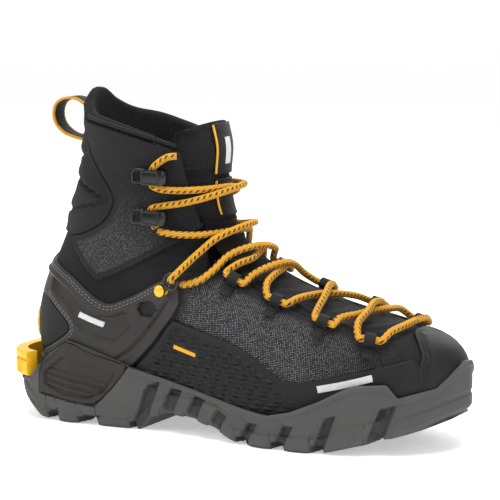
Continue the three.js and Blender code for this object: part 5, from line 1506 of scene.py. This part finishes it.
BINDING_TOP = np.array([[0.24, 0.972], [0.4, 0.962], [0.55, 0.942], [0.69, 0.915]])
for name, side in SIDES.items():
    t = np.linspace(0.235, 0.70, 150)
    v = curve(BINDING_TOP, t)[:, 0] - 0.008
    w, v = on(side, np.stack([t, v], -1)).T
    swept(
        f"binding_{name}", skin(w, v, -1.1), skin_normal(w, v), oval(1.15, 1.35), web_finish, "cuff",
        ends=(0.5, 0.5), replaces=f"collar_binding_{name}", slot="stretch_knit",
    )

# ---------------------------------------------------------------- tongue
# The tongue runs from the toe end of the throat to above the collar: ridged softshell below,
# stretch cloth at the ankle, then padded knit with a black centre strip edged in yellow cord.
tongue_finish, *_ = fabric(
    "tongue_shell", (0.0055, 0.0055, 0.006), (0.012, 0.012, 0.0125), 1.1, rough=0.8, depth=0.15,
)
share = stations(90, 0.006)
v = (0.262 + (0.55 - 0.262) * share)[None, :]
width = 0.04 + 0.235 * smooth(0.255, 0.33, v)
w = 1 + width * (2 * stations(44, 0.01)[:, None] - 1)
v = np.broadcast_to(v, w.shape)
ridge = lambda p, d, w, v: (
    0.6 * np.sin(v * 2 * math.pi / 0.027) * np.exp(-(((w - 1) / 0.12) ** 4)) + 0.4 * np.sin(v * 60)
    + 0.9 * (np.exp(-(((np.abs(w - 1) - 0.165) / 0.010) ** 2)) + np.exp(-(((np.abs(w - 1) - 0.20) / 0.010) ** 2)))
)
quilt(
    "tongue_base", w, v, -6.4, -3.4, tongue_finish, "foot", edge=1.5, relief=ridge,
    replaces="tongue_lower", slot="stretch_knit",
)
share = stations(36, 0.012)
v = np.broadcast_to((0.54 + (0.70 - 0.54) * share)[None, :], (54, len(share)))
w = np.broadcast_to((1 + 0.2 * (2 * stations(48, 0.01) - 1))[:, None], v.shape)
folds = lambda p, d, w, v: 0.9 * np.sin(v * 2 * math.pi / 0.034 + 2.0 * np.abs(w - 1)) - 0.4
quilt(
    "tongue_bend", w, v, -6.0, -3.3, tongue_finish, ("foot", "cuff", [130, 0, 110], [120, 0, 135]), edge=1.5,
    relief=folds, replaces="tongue_flex", slot="stretch_knit",
)


def tongue_slab(name, half, v_low, v_high, wing, body, arch=0.0, **about):
    across = 2 * stations(56, 0.01) - 1
    w = np.broadcast_to((1 + half * across)[:, None], (len(across), len(share)))
    top = v_high - arch * across[:, None] ** 2
    v = v_low + (top - v_low) * share
    depth = 1.6 + wing * smooth(0.12, 0.24, np.abs(w - 1))
    return quilt(name, w, v, -depth - 3.0, -depth, knit_finish, body, **about)


padding = tongue_slab(
    "tongue_knit", 0.32, 0.692, 0.81, 2.3, "cuff", edge=2.4, replaces="tongue_upper", slot="stretch_knit",
    relief=lambda p, d, w, v: 0.5 * np.sin(v * 90) * (np.abs(w - 1) > 0.1),
)
padding = tongue_slab(
    "tongue_head", 0.30, 0.803, 0.995, 2.6, "tongue_tip", arch=0.05, edge=3.2,
    relief=lambda p, d, w, v: 0.9 * rounded_step(d - 5, 3) * (np.abs(w - 1) > 0.11) - 0.4,
    replaces="tongue_tip", slot="stretch_knit",
)
# A knit panel with an arched top is laid over each wing of the tongue.
for name, side in SIDES.items():
    arch = on(side, [
        [0.905, 0.83], [0.905, 0.83], [0.905, 0.90], [0.885, 0.925], [0.84, 0.932], [0.79, 0.955], [0.74, 0.962],
        [0.70, 0.945], [0.68, 0.915], [0.68, 0.86], [0.70, 0.83], [0.70, 0.83],
    ])
    over_wing = lambda p, d, w, v: -3.4 * smooth(0.14, 0.26, np.abs(w - 1)) + 0.5 * rounded_step(d - 1, 4)
    panel(
        f"tongue_arch_{name}", round_corners(arch, 2), -2.4, -0.9, knit_finish, "tongue_tip", edge=1.6, grain=1.6,
        relief=over_wing, back=2.6, slot="stretch_knit",
    )
strip_finish = Finish("strip", Roughness=0.62)
_, rise, _ = strip_finish.stored("cloth")
ribs = rise.wave(1.0)
strip_finish.colour(strip_finish.blend(ribs * 0.5 + 0.5, (0.003, 0.003, 0.003), (0.011, 0.011, 0.0115)))
strip_finish.relief(ribs, 0.2)
cord_finish = Finish("yellow_cord", Roughness=0.6)
tone = cord_finish.mottle(cord_finish.where(), 0.8)
cord_finish.colour(cord_finish.blend(tone, (0.62, 0.28, 0.015), (0.85, 0.45, 0.03)))
for name, v_low, v_high, body in (("lower", 0.70, 0.801, "cuff"), ("upper", 0.813, 0.985, "tongue_tip")):
    w = np.broadcast_to((1 + 0.095 * (2 * stations(26, 0.02) - 1))[:, None], (32, len(share)))
    v = np.broadcast_to((v_low + (v_high - v_low) * share)[None, :], w.shape)
    quilt(
        f"strip_{name}", w, v, -1.5, -0.15, strip_finish, body, edge=0.7,
        replaces=f"tongue_strip_{name}", slot="webbing",
    )
    edge_v = np.linspace(v_low + 0.004, v_high - 0.006, 60)
    edge_w = np.full(60, 0.909)
    swept(
        f"strip_cord_{name}", skin(edge_w, edge_v, -0.25), skin_normal(edge_w, edge_v), oval(0.75, 0.75),
        cord_finish, body, slot="lace_cord",
    )

# ---------------------------------------------------------------- plain badges
# Blank tabs are bonded where a boot of this kind carries its labels: on the heel frame, on the
# rand and at the top of the tongue.
badge_finish = Finish("badge", Roughness=0.5)
tone = badge_finish.mottle(badge_finish.where(), 2)
badge_finish.colour(badge_finish.blend(tone, (0.50, 0.50, 0.50), (0.68, 0.68, 0.68)))
for name, outline, lift, finish in (
    ("heel", [[56, 69.5], [75, 64], [76.5, 67.5], [57.5, 73]], -1.2, badge_finish),
    ("rand", [[231, 36.8], [265, 45.8], [264, 50], [230, 41]], 0.0, badge_finish),
    ("label", [[128, 57.5], [145, 53.5], [144.4, 51], [127.4, 55]], 0.0, cord_finish),
):
    line = round_corners(on(-1, seen_from_side(np.repeat(outline, 2, 0))), 1)
    panel(f"badge_{name}", line, lift + 0.02, lift + 0.3, finish, "foot", edge=0.35, grain=1.0)
bar = [[0.975, 0.845], [1.03, 0.845], [1.03, 0.935], [0.975, 0.935]]
panel("badge_strip", np.repeat(bar, 2, 0), -0.2, 0.1, badge_finish, "tongue_tip", edge=0.35, grain=1.0)

# ---------------------------------------------------------------- pull loop
# A flat black webbing loop with yellow selvedges pulls the boot on. Both of its ends are sewn
# under the top of the Achilles pad, and it turns a little on them.
PULL = [
    [46, 203.5], [38, 207.3], [29, 207], [23.5, 203.5], [21.5, 197], [23.5, 190], [30, 184.5], [38, 182], [46, 180.5],
]
line = through([[x, 0, z] for x, z in PULL], 0.6)
pull_finish = Finish("pull_webbing", Roughness=0.7)
run, _, _ = pull_finish.stored("strand")
_, y, _ = pull_finish.parts(pull_finish.where())
ribs = run.wave(1.3)
black = pull_finish.blend(ribs * 0.5 + 0.5, (0.004, 0.004, 0.0045), (0.016, 0.016, 0.017))
side_edge = (y * y).above(5.6**2, 4.0)
pull_finish.colour(pull_finish.blend(side_edge, black, (0.72, 0.35, 0.015)))
pull_finish.relief(ribs, 0.3)
swept(
    "pull_tab", line, (0, 1, 0), band_profile(14, 1.6, 0.5), pull_finish, "pull_loop",
    replaces="pull_loop", slot="webbing",
)
